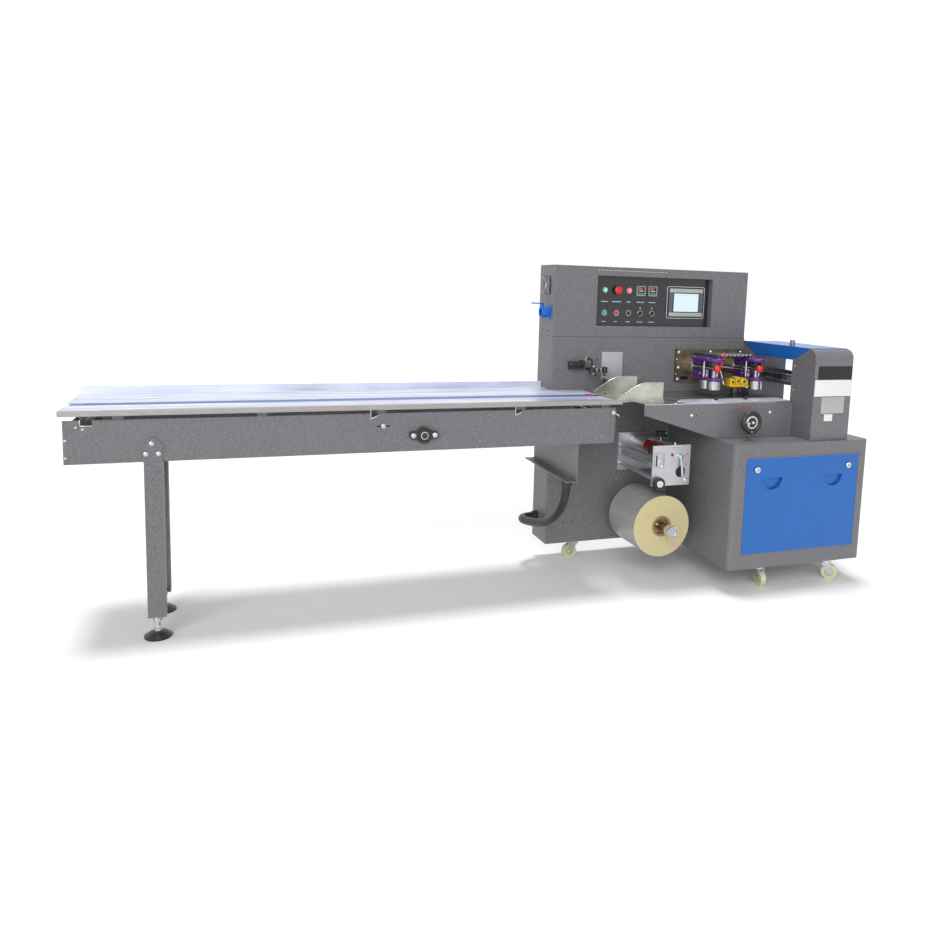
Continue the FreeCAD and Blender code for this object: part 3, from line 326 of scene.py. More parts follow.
class Build:
    """Closed solids gathered in one mesh, in millimetres; each solid takes the finish it is given."""

    def __init__(self):
        self.mesh = bmesh.new()
        self.finishes = []

    def loft(self, finish, rings, ends="capped", ease=0.0):
        """Skins the rings in turn; ease is the width of a bevel on the sharp edges."""
        if finish not in self.finishes:
            self.finishes.append(finish)
        loops = [[self.mesh.verts.new(point) for point in ring] for ring in rings]
        faces = []
        for a, b in list(zip(loops, loops[1:])) + ([(loops[-1], loops[0])] if ends == "joined" else []):
            for k in range(len(a)):
                faces.append(self.mesh.faces.new((a[k - 1], a[k], b[k], b[k - 1])))
        if ends == "capped":
            faces += [self.mesh.faces.new(loops[0][::-1]), self.mesh.faces.new(loops[-1])]
        for face in faces:
            face.material_index = self.finishes.index(finish)
        if ease:
            bmesh.ops.recalc_face_normals(self.mesh, faces=faces)
            for face in faces:
                face.normal_update()
            sharp = {e for f in faces for e in f.edges if e.calc_face_angle(0) > math.radians(40)}
            bmesh.ops.bevel(self.mesh, geom=list(sharp), offset=ease, segments=2, profile=0.5,
                            affect="EDGES", clamp_overlap=True, material=-1)

    def plate(self, finish, axis, near, far, outline, ease=0.5):
        """The outline of (u, v) points, filled between two levels along x, y or z."""
        at = {"x": lambda w, u, v: (w, u, v), "y": lambda w, u, v: (u, w, v), "z": lambda w, u, v: (u, v, w)}[axis]
        self.loft(finish, [[at(level, u, v) for u, v in outline] for level in (near, far)], "capped", ease)

    def frame(self, finish, axis, near, far, outer, inner, ease=0.0):
        """A plate with a hole; both outlines have the same number of points."""
        at = {"x": lambda w, u, v: (w, u, v), "y": lambda w, u, v: (u, w, v), "z": lambda w, u, v: (u, v, w)}[axis]
        rings = []
        for level, outline in ((near, outer), (far, outer), (far, inner), (near, inner)):
            rings.append([at(level, u, v) for u, v in outline])
        self.loft(finish, rings, "joined", ease)

    def block(self, finish, x0, x1, y0, y1, z0, z1, ease=0.8):
        self.plate(finish, "z", z0, z1, [(x0, y0), (x1, y0), (x1, y1), (x0, y1)], ease)

    def turned(self, finish, start, axis, profile, steps=28, ends="capped"):
        """Rings of the (distance, radius) profile round the axis."""
        turn = Vector(axis).to_track_quat("Z", "Y")
        rings = []
        for distance, radius in profile:
            spots = circle(0, 0, radius, steps)
            rings.append([Vector(start) + turn @ Vector((u, v, distance)) for u, v in spots])
        self.loft(finish, rings, ends)

    def bar(self, finish, start, end, radius, steps=20):
        run = Vector(end) - Vector(start)
        edge = min(radius * 0.25, 1.2)
        profile = [(0, radius - edge), (edge, radius), (run.length - edge, radius), (run.length, radius - edge)]
        self.turned(finish, start, run, profile, steps)

    def bent(self, finish, points, radii, steps=14):
        """A round bar through points, with its radius at each."""
        line = [Vector(point) for point in points]
        rings = []
        for k, (point, radius) in enumerate(zip(line, radii)):
            heading = line[min(k + 1, len(line) - 1)] - line[max(k - 1, 0)]
            turn = heading.to_track_quat("Z", "Y")
            rings.append([point + turn @ Vector((u, v, 0)) for u, v in circle(0, 0, radius, steps)])
        self.loft(finish, rings)

    def screw(self, finish, at, axis, radius):
        """A round head with a socket, seated half a millimetre deep."""
        r = radius
        profile = [(-0.5, r), (0.4 * r, r), (0.6 * r, 0.82 * r), (0.6 * r, 0.5 * r), (0.2 * r, 0.45 * r), (0.2 * r, 0.1 * r)]
        self.turned(finish, at, axis, profile, 18)

    def hexagon(self, finish, at, axis, width, height):
        """A hexagon nut over a washer."""
        self.turned(finish, at, axis, [(-0.5, 0.68 * width), (0.12 * height, 0.68 * width), (0.2 * height, 0.6 * width)], 24)
        profile = [(0, 0.5 * width), (0.85 * height, 0.5 * width), (height, 0.42 * width), (height, 0.2 * width),
                   (height * 1.25, 0.18 * width), (height * 1.3, 0.1 * width)]
        self.turned(finish, at, axis, profile, 6)

    def fit(self, name, body, slot, *replaced):
        """Makes the piece, in place on its body."""
        for vert in self.mesh.verts:
            vert.co = place(vert.co)
        bmesh.ops.recalc_face_normals(self.mesh, faces=self.mesh.faces)
        for face in self.mesh.faces:
            face.smooth = True
        data = bpy.data.meshes.new(name)
        self.mesh.to_mesh(data)
        self.mesh.free()
        for finish in self.finishes:
            data.materials.append(finish.material)
        data.set_sharp_from_angle(angle=math.radians(34))
        piece = bpy.data.objects.new(name, data)
        bpy.context.scene.collection.objects.link(piece)
        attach(piece, body)
        if replaced:
            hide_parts(*replaced)
        return piece


LEFT, FRONT_WAYS, UP = (-1, 0, 0), (0, -1, 0), (0, 0, 1)
chrome = plain_finish("chromed_screws", (0.62, 0.63, 0.64), 0.22, 1.0, 300.0, 0.12)
black_oxide = plain_finish("black_oxide", (0.02, 0.02, 0.022), 0.35, 0.5, 300.0, 0.4)
card = plain_finish("bare_card", (0.42, 0.43, 0.46), 0.5, 0.0, 60.0, 0.06)

fittings = Build()
fittings.plate(card, "y", -0.8, 0.1, rounded(260, 371, 911, 1045, 3), 0.2)
for x, z, radius in ((235, 1007, 4), (232, 933, 4), (89, 216, 3.4), (135, 216, 3.4), (586, 1029, 2)):
    fittings.turned(black_oxide, (x, 0.5, z), FRONT_WAYS, [(0, radius), (1.6, radius), (2.2, radius * 0.7)], 18)
for x, z in ((366, 416), (406, 380)):
    fittings.screw(chrome, (x, 0, z), FRONT_WAYS, 5)
for y, z in ((129, 1145), (56, 1142), (30, 700), (150, 700), (30, 240), (150, 420)):
    fittings.screw(black_oxide, (0, y, z), LEFT, 3.2)
fittings.fit("cabinet_screws_and_card", "root", "zinc")


# Blue panels
# The lift-off door of the lower cabinet and the cover over the end seal, in gloss blue enamel
# with a little orange peel. Two quarter-turn locks hold the door.

door_lo, door_hi = span("door_panel")
LOCK_PROUD, LOCK_INSET, LOCK_DROP = 5.0, 57.0, 54.0
blue = Finish("blue_enamel", 0.28, coat=0.08)
peel, dust = blue.noise(150.0, 2.0), blue.noise(6.0, 4.0)
enamel = blue.mix(blue.step(dust, 0.42, 0.8) * 0.3, (0.0, 0.105, 0.40), (0.002, 0.14, 0.50))
rise = blue.axis("Z")
studs = blue.step(blue.reach("XY", (1105, -325)), 13.0, 12.4) * blue.step(rise, 1105.5, 1106.5)
enamel = blue.mix(studs, enamel, (0.20, 0.24, 0.30))
# Painted highlight: a light brown line along the door's top and bottom edges, where light catches them.
edge = blue.step(blue.axis("Y"), door_lo.y + LOCK_PROUD + 1.2, door_lo.y + LOCK_PROUD + 0.4)
edge_highlight_rim = 1 - blue.between(rise, door_lo.z + 1.4, door_hi.z - 1.4, 0.3)
enamel = blue.mix(edge * edge_highlight_rim, enamel, (0.30, 0.24, 0.18))
blue.set("Base Color", enamel)
blue.set("Metallic", studs)
blue.set("Roughness", dust * 0.16 + 0.2)
blue.bump(peel, 0.0005, 0.3)
blue.dress("seal_cover", "door_panel")

locks = Build()
lock_y = door_lo.y
for x in (door_lo.x + LOCK_INSET, door_hi.x - LOCK_INSET):
    start = (x, lock_y + 0.4, door_hi.z - LOCK_DROP)
    locks.turned(chrome, start, FRONT_WAYS, [(0, 14), (1.5, 14), (2.6, 12.6), (2.6, 8.2), (1.0, 7.8), (1.0, 0.8)])
    locks.plate(black_oxide, "y", lock_y - 1.6, lock_y + 0.2, rounded(x - 1.3, x + 1.3, start[2] - 5, start[2] + 5, 1.2), 0)
locks.fit("door_locks", "root", "zinc")


# Fan and mains inlet
# On the cabinet's left side: a fan behind a wire grille, and a blue moulded inlet with four
# screws, three contact pins and a lid on a pin.

fan_lo, fan_hi = span("fan_guard")
fan_y, fan_z, fan_half = (fan_lo.y + fan_hi.y) / 2, (fan_lo.z + fan_hi.z) / 2, (fan_hi.y - fan_lo.y) / 2
moulded = plain_finish("moulded_black", (0.018, 0.018, 0.020), 0.42, 0.0, 420.0, 0.35, relief=0.0002)
wire = plain_finish("bright_wire", (0.50, 0.51, 0.53), 0.25, 1.0, 200.0, 0.2)
fan = Build()
outer = rounded(fan_y - fan_half, fan_y + fan_half, fan_z - fan_half, fan_z + fan_half, 8, 7)
fan.frame(moulded, "x", fan_lo.x + 2.4, 0, outer, circle(fan_y, fan_z, fan_half - 4)[:], 0)
fan.turned(moulded, (-0.4, fan_y, fan_z), LEFT, [(0, 17), (2.6, 17), (3.4, 15)])
for k in range(7):
    a, b = math.radians(360 / 7 * k), math.radians(360 / 7 * k + 34)
    tips = [(16, a), (37, a), (37, b), (16, b)]
    blade = [(fan_y + r * math.cos(t), fan_z + r * math.sin(t)) for r, t in tips]
    fan.plate(moulded, "x", -1.8, -0.6, blade, 0.2)
for ring in (11, 18, 25, 32, 39):
    fan.turned(wire, (fan_lo.x, fan_y, fan_z), LEFT,
               [(-2.2, ring + 0.9), (-0.6, ring + 0.9), (-0.6, ring - 0.9), (-2.2, ring - 0.9)], 36, "joined")
for k in range(4):
    a = math.radians(45 + 90 * k)
    u, v = math.cos(a), math.sin(a)
    tip = (fan_lo.x + 2.2, fan_y + 47 * u, fan_z + 47 * v)
    fan.bar(wire, (fan_lo.x + 2.2, fan_y + 4 * u, fan_z + 4 * v), tip, 1.3, 10)
    fan.screw(chrome, (fan_lo.x + 1.6, fan_y + 50 * u, fan_z + 50 * v), LEFT, 3.6)
fan.turned(wire, (fan_lo.x + 1.6, fan_y, fan_z), LEFT, [(0, 8), (1.0, 8), (1.6, 7)], 24)
fan.fit("cooling_fan", "root", "black_plastic", "fan_guard")

plain_finish("inlet_plastic", (0.006, 0.125, 0.55), 0.35, 0.0, 300.0, 0.2, relief=0.0002).dress("power_inlet", "inlet_lid")
contact = plain_finish("contact_brass", (0.62, 0.45, 0.16), 0.3, 1.0)
inlet_lo, inlet_hi = span("power_inlet")
inlet_y, inlet_z = (inlet_lo.y + inlet_hi.y) / 2, inlet_lo.z + (inlet_hi.y - inlet_lo.y) / 2
pins = Build()
for k in range(3):
    a = math.radians(90 + 120 * k)
    root_point = (-5.8, inlet_y + 10 * math.cos(a), inlet_z + 10 * math.sin(a))
    pins.turned(contact, root_point, LEFT, [(0, 2.4), (22, 2.4), (24, 1.6)], 14)
for side_y in (-1, 1):
    for side_z in (-1, 1):
        pins.screw(chrome, (-6, inlet_y + 26 * side_y, inlet_z + 26 * side_z), LEFT, 2.8)
pins.fit("inlet_pins_and_screws", "root", "zinc")


# Control panel
# Black film-covered plate in the head's recess. It carries lit and plain push buttons, a
# mushroom stop button, two temperature controllers over two selectors, and a touch screen.

panel = Finish("panel_film", 0.22, coat=0.3)
matt = panel.noise(350.0, 2.0)
panel.set("Base Color", panel.mix(matt, (0.007, 0.007, 0.009), (0.02, 0.02, 0.023)))
panel.set("Roughness", matt * 0.15 + 0.16)
panel.dress("control_panel")

lit_green = plain_finish("lit_green", (0.25, 0.95, 0.60), 0.3, glow=0.9, spread=0.05)
halo_green = plain_finish("green_lens", (0.0, 0.30, 0.14), 0.3, glow=0.5)
lit_red = plain_finish("lit_red", (1.0, 0.30, 0.28), 0.3, glow=0.9, spread=0.05)
halo_red = plain_finish("red_lens", (0.75, 0.015, 0.02), 0.3, glow=0.5)
cap_green = plain_finish("green_cap", (0.02, 0.36, 0.30), 0.35)
cap_red = plain_finish("red_cap", (0.62, 0.018, 0.014), 0.35)
bezel = plain_finish("bezel_ring", (0.52, 0.53, 0.54), 0.25, 1.0)
marking = plain_finish("bare_label", (0.42, 0.50, 0.54), 0.5, spread=0.05)
window = plain_finish("display_window", (0.02, 0.018, 0.018), 0.15)
digits = plain_finish("display_glow", (0.95, 0.06, 0.04), 0.4, glow=0.8, spread=0.1)
digits_green = plain_finish("set_point_glow", (0.10, 0.80, 0.35), 0.4, glow=0.7, spread=0.1)
case_grey = plain_finish("controller_case", (0.34, 0.34, 0.35), 0.4)

face = span("control_panel")[0].y
LOW, HIGH, FIRST, PITCH_X = 1232, 1341, 277, 65
columns = [FIRST + PITCH_X * k for k in range(5)]


def push_button(build, x, z, lens, centre):
    start = (x, face + 0.5, z)
    build.turned(bezel, start, FRONT_WAYS, [(0, 14.6), (3.5, 14.6), (5, 13.6), (5, 10.9), (2.2, 10.5), (2.2, 1)])
    build.turned(lens, start, FRONT_WAYS, [(2, 10.2), (7.6, 10.2), (8.8, 9.2), (9.0, 5.6), (9.0, 0.6)])
    if centre:
        build.turned(centre, start, FRONT_WAYS, [(8.6, 6.4), (9.6, 6.2), (10.2, 4.4), (10.4, 0.5)])


panel_set = Build()
push_button(panel_set, columns[0], HIGH, halo_green, lit_green)
push_button(panel_set, columns[2], HIGH, halo_red, lit_red)
push_button(panel_set, columns[0], LOW, cap_green, None)
push_button(panel_set, columns[1], LOW, cap_red, None)
push_button(panel_set, columns[2], LOW, moulded, None)
panel_set.turned(moulded, (columns[1], face + 0.5, HIGH), FRONT_WAYS, [(0, 15), (4, 15), (5, 12), (15, 12), (16, 11)])
panel_set.turned(cap_red, (columns[1], face + 0.5, HIGH), FRONT_WAYS,
                 [(13, 15), (15, 18.6), (19, 19.4), (22, 18.4), (24.4, 15), (25.6, 9), (26, 1)])
for x in columns[3:]:
    panel_set.frame(case_grey, "y", face - 4, face + 0.5, rounded(x - 24, x + 24, HIGH - 24, HIGH + 24, 2.5),
                    rounded(x - 20, x + 20, HIGH - 19, HIGH + 20.5, 1.5), 0.3)
    panel_set.plate(window, "y", face - 1.5, face + 0.5, rounded(x - 20.2, x + 20.2, HIGH - 19.2, HIGH + 20.7, 1.5), 0)
    for k in range(3):
        u = x - 14 + 8 * k
        panel_set.plate(digits, "y", face - 1.9, face - 1.4, rounded(u, u + 1.4, HIGH + 7, HIGH + 17, 0.5, 1), 0)
        panel_set.plate(digits, "y", face - 1.9, face - 1.4, rounded(u + 4, u + 5.4, HIGH + 7, HIGH + 17, 0.5, 1), 0)
        panel_set.plate(digits_green, "y", face - 1.9, face - 1.4, rounded(u + 4, u + 9, HIGH - 3, HIGH + 2, 0.5, 1), 0)
    for k in range(4):
        u = x - 17 + 9 * k
        panel_set.plate(case_grey, "y", face - 2.6, face - 1.2, rounded(u, u + 6, HIGH - 16, HIGH - 11, 1), 0.3)
    start = (x, face + 0.5, LOW)
    panel_set.turned(bezel, start, FRONT_WAYS, [(0, 14.6), (3.5, 14.6), (5, 13.4), (5, 11.4), (3, 11), (3, 1)])
    panel_set.turned(moulded, start, FRONT_WAYS, [(2.5, 10.8), (7, 10.8), (8, 9.8), (8, 1)])
    tilt = math.radians(38)
    grip = []
    for u, v in rounded(-3.8, 3.8, -12, 12, 3):
        grip.append((x + u * math.cos(tilt) + v * math.sin(tilt), LOW - u * math.sin(tilt) + v * math.cos(tilt)))
    panel_set.plate(moulded, "y", face - 17, face - 7, grip, 1.2)
    a, b = math.sin(tilt), math.cos(tilt)
    panel_set.bar(marking, (x + 3 * a, face - 17.1, LOW + 3 * b), (x + 11 * a, face - 17.1, LOW + 11 * b), 0.9, 8)
    panel_set.plate(marking, "y", face - 0.5, face + 0.1, rounded(x - 2, x + 2, LOW + 20, LOW + 31, 1), 0)
for column, half in zip(columns, (19, 25, 12, 19, 19)):
    panel_set.plate(marking, "y", face - 0.5, face + 0.1, rounded(column - half, column + half, 1284, 1288, 1), 0)
for column, half in zip(columns, (11, 9, 12, 17, 17)):
    panel_set.plate(marking, "y", face - 0.5, face + 0.1, rounded(column - half, column + half, 1188, 1191.5, 1), 0)
panel_set.fit("control_buttons_and_controllers", "root", "button_plastic", "control_buttons")

screen_lo, screen_hi = span("touch_screen")
SCREEN_RISE = 5
silver = plain_finish("screen_silver", (0.40, 0.42, 0.42), 0.4, 0.3, 90.0, 0.12, (1, 1, 12))
slate = plain_finish("screen_slate", (0.085, 0.10, 0.125), 0.35)
picture = Finish("screen_picture", 0.12)
rows = (picture.axis("Z") * 0.62).wave() * (picture.axis("X") * 0.21).wave()
tint = picture.mix(picture.step(rows, 0.1, 0.6) * 0.5, (0.80, 0.96, 1.0), (0.50, 0.78, 0.90))
header = picture.between(picture.axis("Z"), 1322, 1327)
tint = picture.mix(header * 0.5, tint, (0.45, 0.72, 0.86))
picture.set("Base Color", (0.02, 0.025, 0.03))
picture.set("Emission Color", picture.mix(picture.noise(30.0) * 0.2, tint, (0.9, 1.0, 1.0)))
picture.set("Emission Strength", 0.92)
x0, x1, z0, z1 = screen_lo.x, screen_hi.x, screen_lo.z, screen_hi.z
near, back = screen_lo.y - 3, screen_hi.y
screen = Build()
screen.frame(bezel, "y", near + 3, back, rounded(x0, x1, z0, z1, 12), rounded(x0 + 3.5, x1 - 3.5, z0 + 3.5, z1 - 3.5, 9), 0.6)
screen.plate(window, "y", near + 5, back, rounded(x0 + 2, x1 - 2, z0 + 2, z1 - 2, 9), 0)
screen.plate(slate, "y", near, back, rounded(x0 + 12, x1 - 12, z0 + 10, z1 - 10, 5), 1.2)
for low, high in ((z0 + 11, z0 + 30), (z1 - 30, z1 - 11)):
    screen.plate(silver, "y", near - 1, near + 4, rounded(x0 + 13, x1 - 13, low, high, 3), 0.8)
screen.frame(window, "y", near - 0.8, near + 2, rounded(x0 + 33, x1 - 33, z0 + 31, z1 - 31, 2),
             rounded(x0 + 38, x1 - 38, z0 + 35, z1 - 35, 1), 0)
screen.plate(picture, "y", near - 0.4, near + 2, rounded(x0 + 37.5, x1 - 37.5, z0 + 34.5, z1 - 34.5, 1), 0)
for z in (z1 - 46, z1 - 58):
    screen.turned(cap_green, (x1 - 21, near + 0.3, z), FRONT_WAYS, [(0, 2), (1, 2), (1.4, 1.2)], 14)
screen.fit("touch_screen_unit", "root", "screen", "touch_screen")


# Work table
# Stainless top on a grey painted skirt; a film-covered strip with two black knobs lies on it.
# The handwheel is black plastic with a steel grip and a turned boss.

table_lo, table_hi = span("work_table")
table = Finish("table_steel_and_paint", 0.3)
skirt_tone, skirt_gloss, skirt_relief = hammered(table)
top = table.step(table.axis("Z"), table_hi.z - 4.6, table_hi.z - 3.8)
scratches, smears = table.noise(70.0, 3.0, (0.12, 5, 5)), table.noise(5.0, 4.0, (0.5, 6, 1))
sheet = table.mix(table.step(smears, 0.35, 0.7), (0.22, 0.22, 0.23), (0.66, 0.67, 0.70))
table.set("Base Color", table.mix(top, skirt_tone, table.mix(scratches * 0.4, sheet, (0.40, 0.40, 0.42))))
table.set("Metallic", top)
table.set("Roughness", skirt_gloss * (1 - top) + (scratches * 0.3 + 0.14) * top)
table.bump(skirt_relief, 0.0006, 0.4)
table.dress("work_table")

skin = Finish("film_covered_sheet", 0.3, 0.3)
streaks, wrinkles = skin.noise(9.0, 4.0, (0.25, 6, 1)), skin.noise(26.0, 3.0, (0.5, 3, 3))
film_tone = skin.mix(skin.step(streaks, 0.3, 0.7), (0.46, 0.50, 0.62), (0.78, 0.82, 0.93))
film_tone = skin.mix(skin.step(wrinkles, 0.60, 0.72) * 0.4, film_tone, (0.95, 0.97, 1.0))
skin.set("Base Color", film_tone)
skin.set("Roughness", streaks * 0.3 + 0.16)
skin.bump(wrinkles, 0.0012, 0.5)
skin.dress("infeed_table", "infeed_upstand")

strip = Finish("cover_strip", 0.3, 0.4)
strip_grain = strip.noise(14.0, 4.0, (0.5, 5, 1))
knobs = strip.step(strip.axis("Z"), span("table_cover")[0].z + 3.4, span("table_cover")[0].z + 4.0)
cover_tone = strip.mix(strip_grain, (0.40, 0.46, 0.60), (0.82, 0.86, 0.95))
strip.set("Base Color", strip.mix(knobs, cover_tone, (0.015, 0.015, 0.016)))
strip.set("Metallic", 0.4 - knobs * 0.4)
strip.set("Roughness", strip_grain * 0.2 + 0.22)
strip.dress("table_cover")

wheel_lo, wheel_hi = span("handwheel")
WHEEL_FACE = -472
wheel_x, wheel_z, wheel_half = (wheel_lo.x + wheel_hi.x) / 2, (wheel_lo.z + wheel_hi.z) / 2, (wheel_hi.x - wheel_lo.x) / 2
wheel_plastic = Finish("handwheel_plastic", 0.35)
fine = wheel_plastic.noise(420.0, 2.0)
grip_pin = wheel_plastic.step(wheel_plastic.reach("XZ", (wheel_x - 39, wheel_z)), 8.4, 7.8)
grip_pin = grip_pin * wheel_plastic.step(wheel_plastic.axis("Y"), -479, -480)
plastic_tone = wheel_plastic.mix(fine, (0.012, 0.012, 0.013), (0.03, 0.03, 0.032))
wheel_plastic.set("Base Color", wheel_plastic.mix(grip_pin, plastic_tone, (0.60, 0.61, 0.62)))
wheel_plastic.set("Metallic", grip_pin)
wheel_plastic.set("Roughness", fine * 0.25 + 0.22)
wheel_plastic.dress("handwheel")

boss = Build()
boss.turned(bezel, (wheel_x, WHEEL_FACE, wheel_z), FRONT_WAYS,
            [(-2, 30), (1.4, 30), (2.2, 29), (2.2, 22), (0.4, 21), (-2, 21)], 40, "joined")
boss.turned(moulded, (wheel_x, WHEEL_FACE, wheel_z), FRONT_WAYS, [(0, 19), (7, 18), (9, 16), (9, 9), (6, 8), (6, 1)], 32)
boss.turned(chrome, (wheel_x, WHEEL_FACE, wheel_z), FRONT_WAYS, [(5, 7.4), (10, 7.4), (11.5, 6), (11.5, 1)], 24)
boss.screw(contact, (wheel_x - 2, -477.5, wheel_z - 43), FRONT_WAYS, 4.2)
boss.fit("handwheel_boss", "handwheel", "steel")

studs_on_skirt = Build()
for x, z in ((517, 795), (937, 800)):
    studs_on_skirt.hexagon(chrome, (x, table_lo.y + 10, z), FRONT_WAYS, 11, 5)
    studs_on_skirt.turned(black_oxide, (x + 24, table_lo.y + 10.4, z), FRONT_WAYS, [(0, 3), (1.2, 3), (1.6, 2)], 14)
arc = []
for k in range(9):
    a = math.radians(50 + 10 * k)
    arc.append((wheel_x + 61 * math.cos(a), table_lo.y + 9.4, wheel_z + 61 * math.sin(a)))
studs_on_skirt.bent(cap_red, arc, [1.2] * 9, 8)
for x, y in ((300, -330), (408, -346), (350, -346), (215, -346), (300, -70), (440, -395), (1030, -395), (1040, -30)):
    studs_on_skirt.screw(chrome, (x, y, table_hi.z + (3 if x < 415 else 0)), UP, 4.2)
studs_on_skirt.fit("table_screws", "root", "zinc")


# Forming box
# Two thin stainless walls on a base sheet, bent from one blank; the film folds round them.

forming = Finish("forming_steel", 0.28, 0.9)
# Painted shade and painted reflection: random patches turn the steel a dark brownish tone, the shade on the walls and
# the grey-green mirrored in them.
draws, reflected_shade_patches = forming.noise(60.0, 3.0, (0.3, 6, 4)), forming.noise(7.0, 3.0)
base_tone = forming.mix(forming.step(reflected_shade_patches, 0.35, 0.75), (0.34, 0.33, 0.27), (0.58, 0.57, 0.50))
forming.set("Base Color", forming.mix(draws * 0.5, base_tone, (0.70, 0.70, 0.66)))
forming.set("Roughness", draws * 0.25 + 0.16)
forming.bump(draws, 0.0004, 0.25)
forming.dress("forming_box")

box_lo, box_hi = span("forming_box")
lips = Build()
for y, outward in ((-325, -1), (-75, 1)):
    slope = [(184, y, 861), (200, y, 872), (232, y, 893), (262, y, 913), (290, y, 925), (316, y, 934.5), (365, y, 935), (414, y, 935)]
    lips.bent(forming, slope, [1.7] * len(slope), 10)
    lips.bent(forming, [(414, y, 935), (414, y, 900), (414, y, 855)], [1.7] * 3, 10)
lips.block(forming, 120, 215, -337, -322, 853.2, 855.2, 0.3)
lips.block(forming, 120, 215, -78, -63, 853.2, 855.2, 0.3)
lips.fit("forming_box_lips", "root", "stainless")


# Fin seal
# Two wheel stands in purple anodised aluminium on knurled drums. Each has a ball-ended lever;
# between them stand a yellow chromated guide, a red brake lever and a grid of bright bars.

mount_lo, mount_hi = span("fin_mount")
bronze = Finish("dark_bronze", 0.35, 0.8)
rub = bronze.noise(40.0, 3.0, (1, 4, 1))
knurl = (bronze.axis("X") * 1.7).wave() * (bronze.axis("Z") * 1.7).wave()
plate_tone = bronze.mix(rub, (0.10, 0.078, 0.055), (0.26, 0.215, 0.16))
drum = bronze.step(bronze.axis("Y"), mount_hi.y - 12.4, mount_hi.y - 13.2)
# Painted shade and highlight: the knurl pattern turns the drum's colour dark and light, as light falls on its ridges
# and hollows.
drum_shaded_tone = bronze.mix(bronze.step(knurl, -0.2, 0.5), (0.20, 0.165, 0.11), (0.48, 0.42, 0.31))
bronze.set("Base Color", bronze.mix(drum, plate_tone, drum_shaded_tone))
bronze.set("Roughness", rub * 0.3 + 0.2)
bronze.bump(knurl * drum, 0.0006, 0.5)
bronze.dress("fin_mount")

purple = Finish("purple_anodised", 0.3, 0.45)
shade = purple.noise(70.0, 3.0)
purple.set("Base Color", purple.mix(shade, (0.075, 0.014, 0.15), (0.17, 0.04, 0.29)))
purple.set("Roughness", shade * 0.25 + 0.2)
purple.bump(purple.noise(500.0, 2.0), 0.0002, 0.3)
ball_red = plain_finish("ball_red", (0.62, 0.012, 0.016), 0.22, scale=60.0, spread=0.15)
gunmetal = plain_finish("gunmetal", (0.10, 0.10, 0.105), 0.3, 0.9, 120.0, 0.3, (1, 1, 6))
unit_lo, unit_hi = span("fin_unit_infeed")
UNIT_BACK, UNIT_FRONT = unit_hi.y, unit_lo.y
for node in ("fin_unit_infeed", "fin_unit_outfeed"):
    lo, hi = span(node)
    x = (lo.x + hi.x) / 2
    stand = Build()
    nose = [(x - 50, UNIT_BACK), (x - 50, UNIT_FRONT + 46), (x - 30, UNIT_FRONT + 6), (x - 18, UNIT_FRONT),
            (x + 12, UNIT_FRONT), (x + 26, UNIT_FRONT + 12), (x + 50, UNIT_BACK - 60), (x + 50, UNIT_BACK)]
    stand.plate(purple, "z", hi.z - 14, hi.z, nose, 1.6)
    stand.plate(purple, "z", hi.z - 0.5, hi.z + 3, rounded(x - 24, x + 14, UNIT_FRONT + 60, UNIT_BACK - 14, 4), 1.0)
    stand.plate(purple, "z", lo.z, lo.z + 11, nose, 1.6)
    stand.block(purple, x - 43, x + 43, UNIT_FRONT + 108, UNIT_BACK, lo.z + 10, lo.z + 40, 2)
    stand.block(purple, x - 43, x + 30, UNIT_FRONT + 112, UNIT_BACK, hi.z - 34, hi.z - 13, 2)
    stand.block(gunmetal, x - 36, x + 36, UNIT_FRONT + 118, UNIT_BACK, lo.z + 38, hi.z - 32, 1)
    stand.block(gunmetal, x - 24, x + 20, UNIT_FRONT + 36, UNIT_FRONT + 106, lo.z + 46, hi.z - 14, 2)
    for y in (UNIT_FRONT + 54, UNIT_FRONT + 115):
        stand.turned(wire, (x, y, lo.z - 2), UP, [(0, 12), (4, 12), (5, 11), (28, 11), (30, 8), (46, 8), (47, 7)], 24)
    for u in (-40, 34):
        stand.bar(wire, (x + u, UNIT_FRONT + 78, lo.z + 8), (x + u, UNIT_FRONT + 78, hi.z - 10), 4.5, 16)
        for k in range(9):
            z = lo.z + 18 + 7 * k
            stand.turned(chrome, (x + u, UNIT_FRONT + 78, z), UP,
                         [(0, 7.4), (2.6, 7.4), (2.6, 5.2), (0, 5.2)], 18, "joined")
    for u, y in ((-40, UNIT_BACK - 12), (40, UNIT_BACK - 12), (-38, UNIT_FRONT + 56), (-4, UNIT_FRONT + 12), (24, UNIT_BACK - 60)):
        stand.screw(chrome, (x + u, y, hi.z), UP, 3.6)
    foot, ball = Vector((x - 45, UNIT_BACK - 4, 989)), Vector((x - 20, UNIT_FRONT - 1, 989))
    along = (ball - foot).normalized()
    length = (ball - foot).length
    stand.turned(chrome, foot, along, [(0, 5.4), (3, 6.2), (9, 6.2), (11, 4.4), (length - 14, 3.8)], 18)
    bead = [(length + 17 * math.sin(math.radians(a)), 17 * math.cos(math.radians(a))) for a in range(-72, 87, 12)]
    stand.turned(ball_red, foot, along, bead + [(length + 17.2, 1)], 28)
    for u in (-44, 44):
        stand.screw(chrome, (x + u * 0.97, UNIT_FRONT + 108, lo.z + 26), FRONT_WAYS, 3.4)
    stand.fit("wheel_stand_" + node.rsplit("_")[-1], "root", "purple_anodised", node)

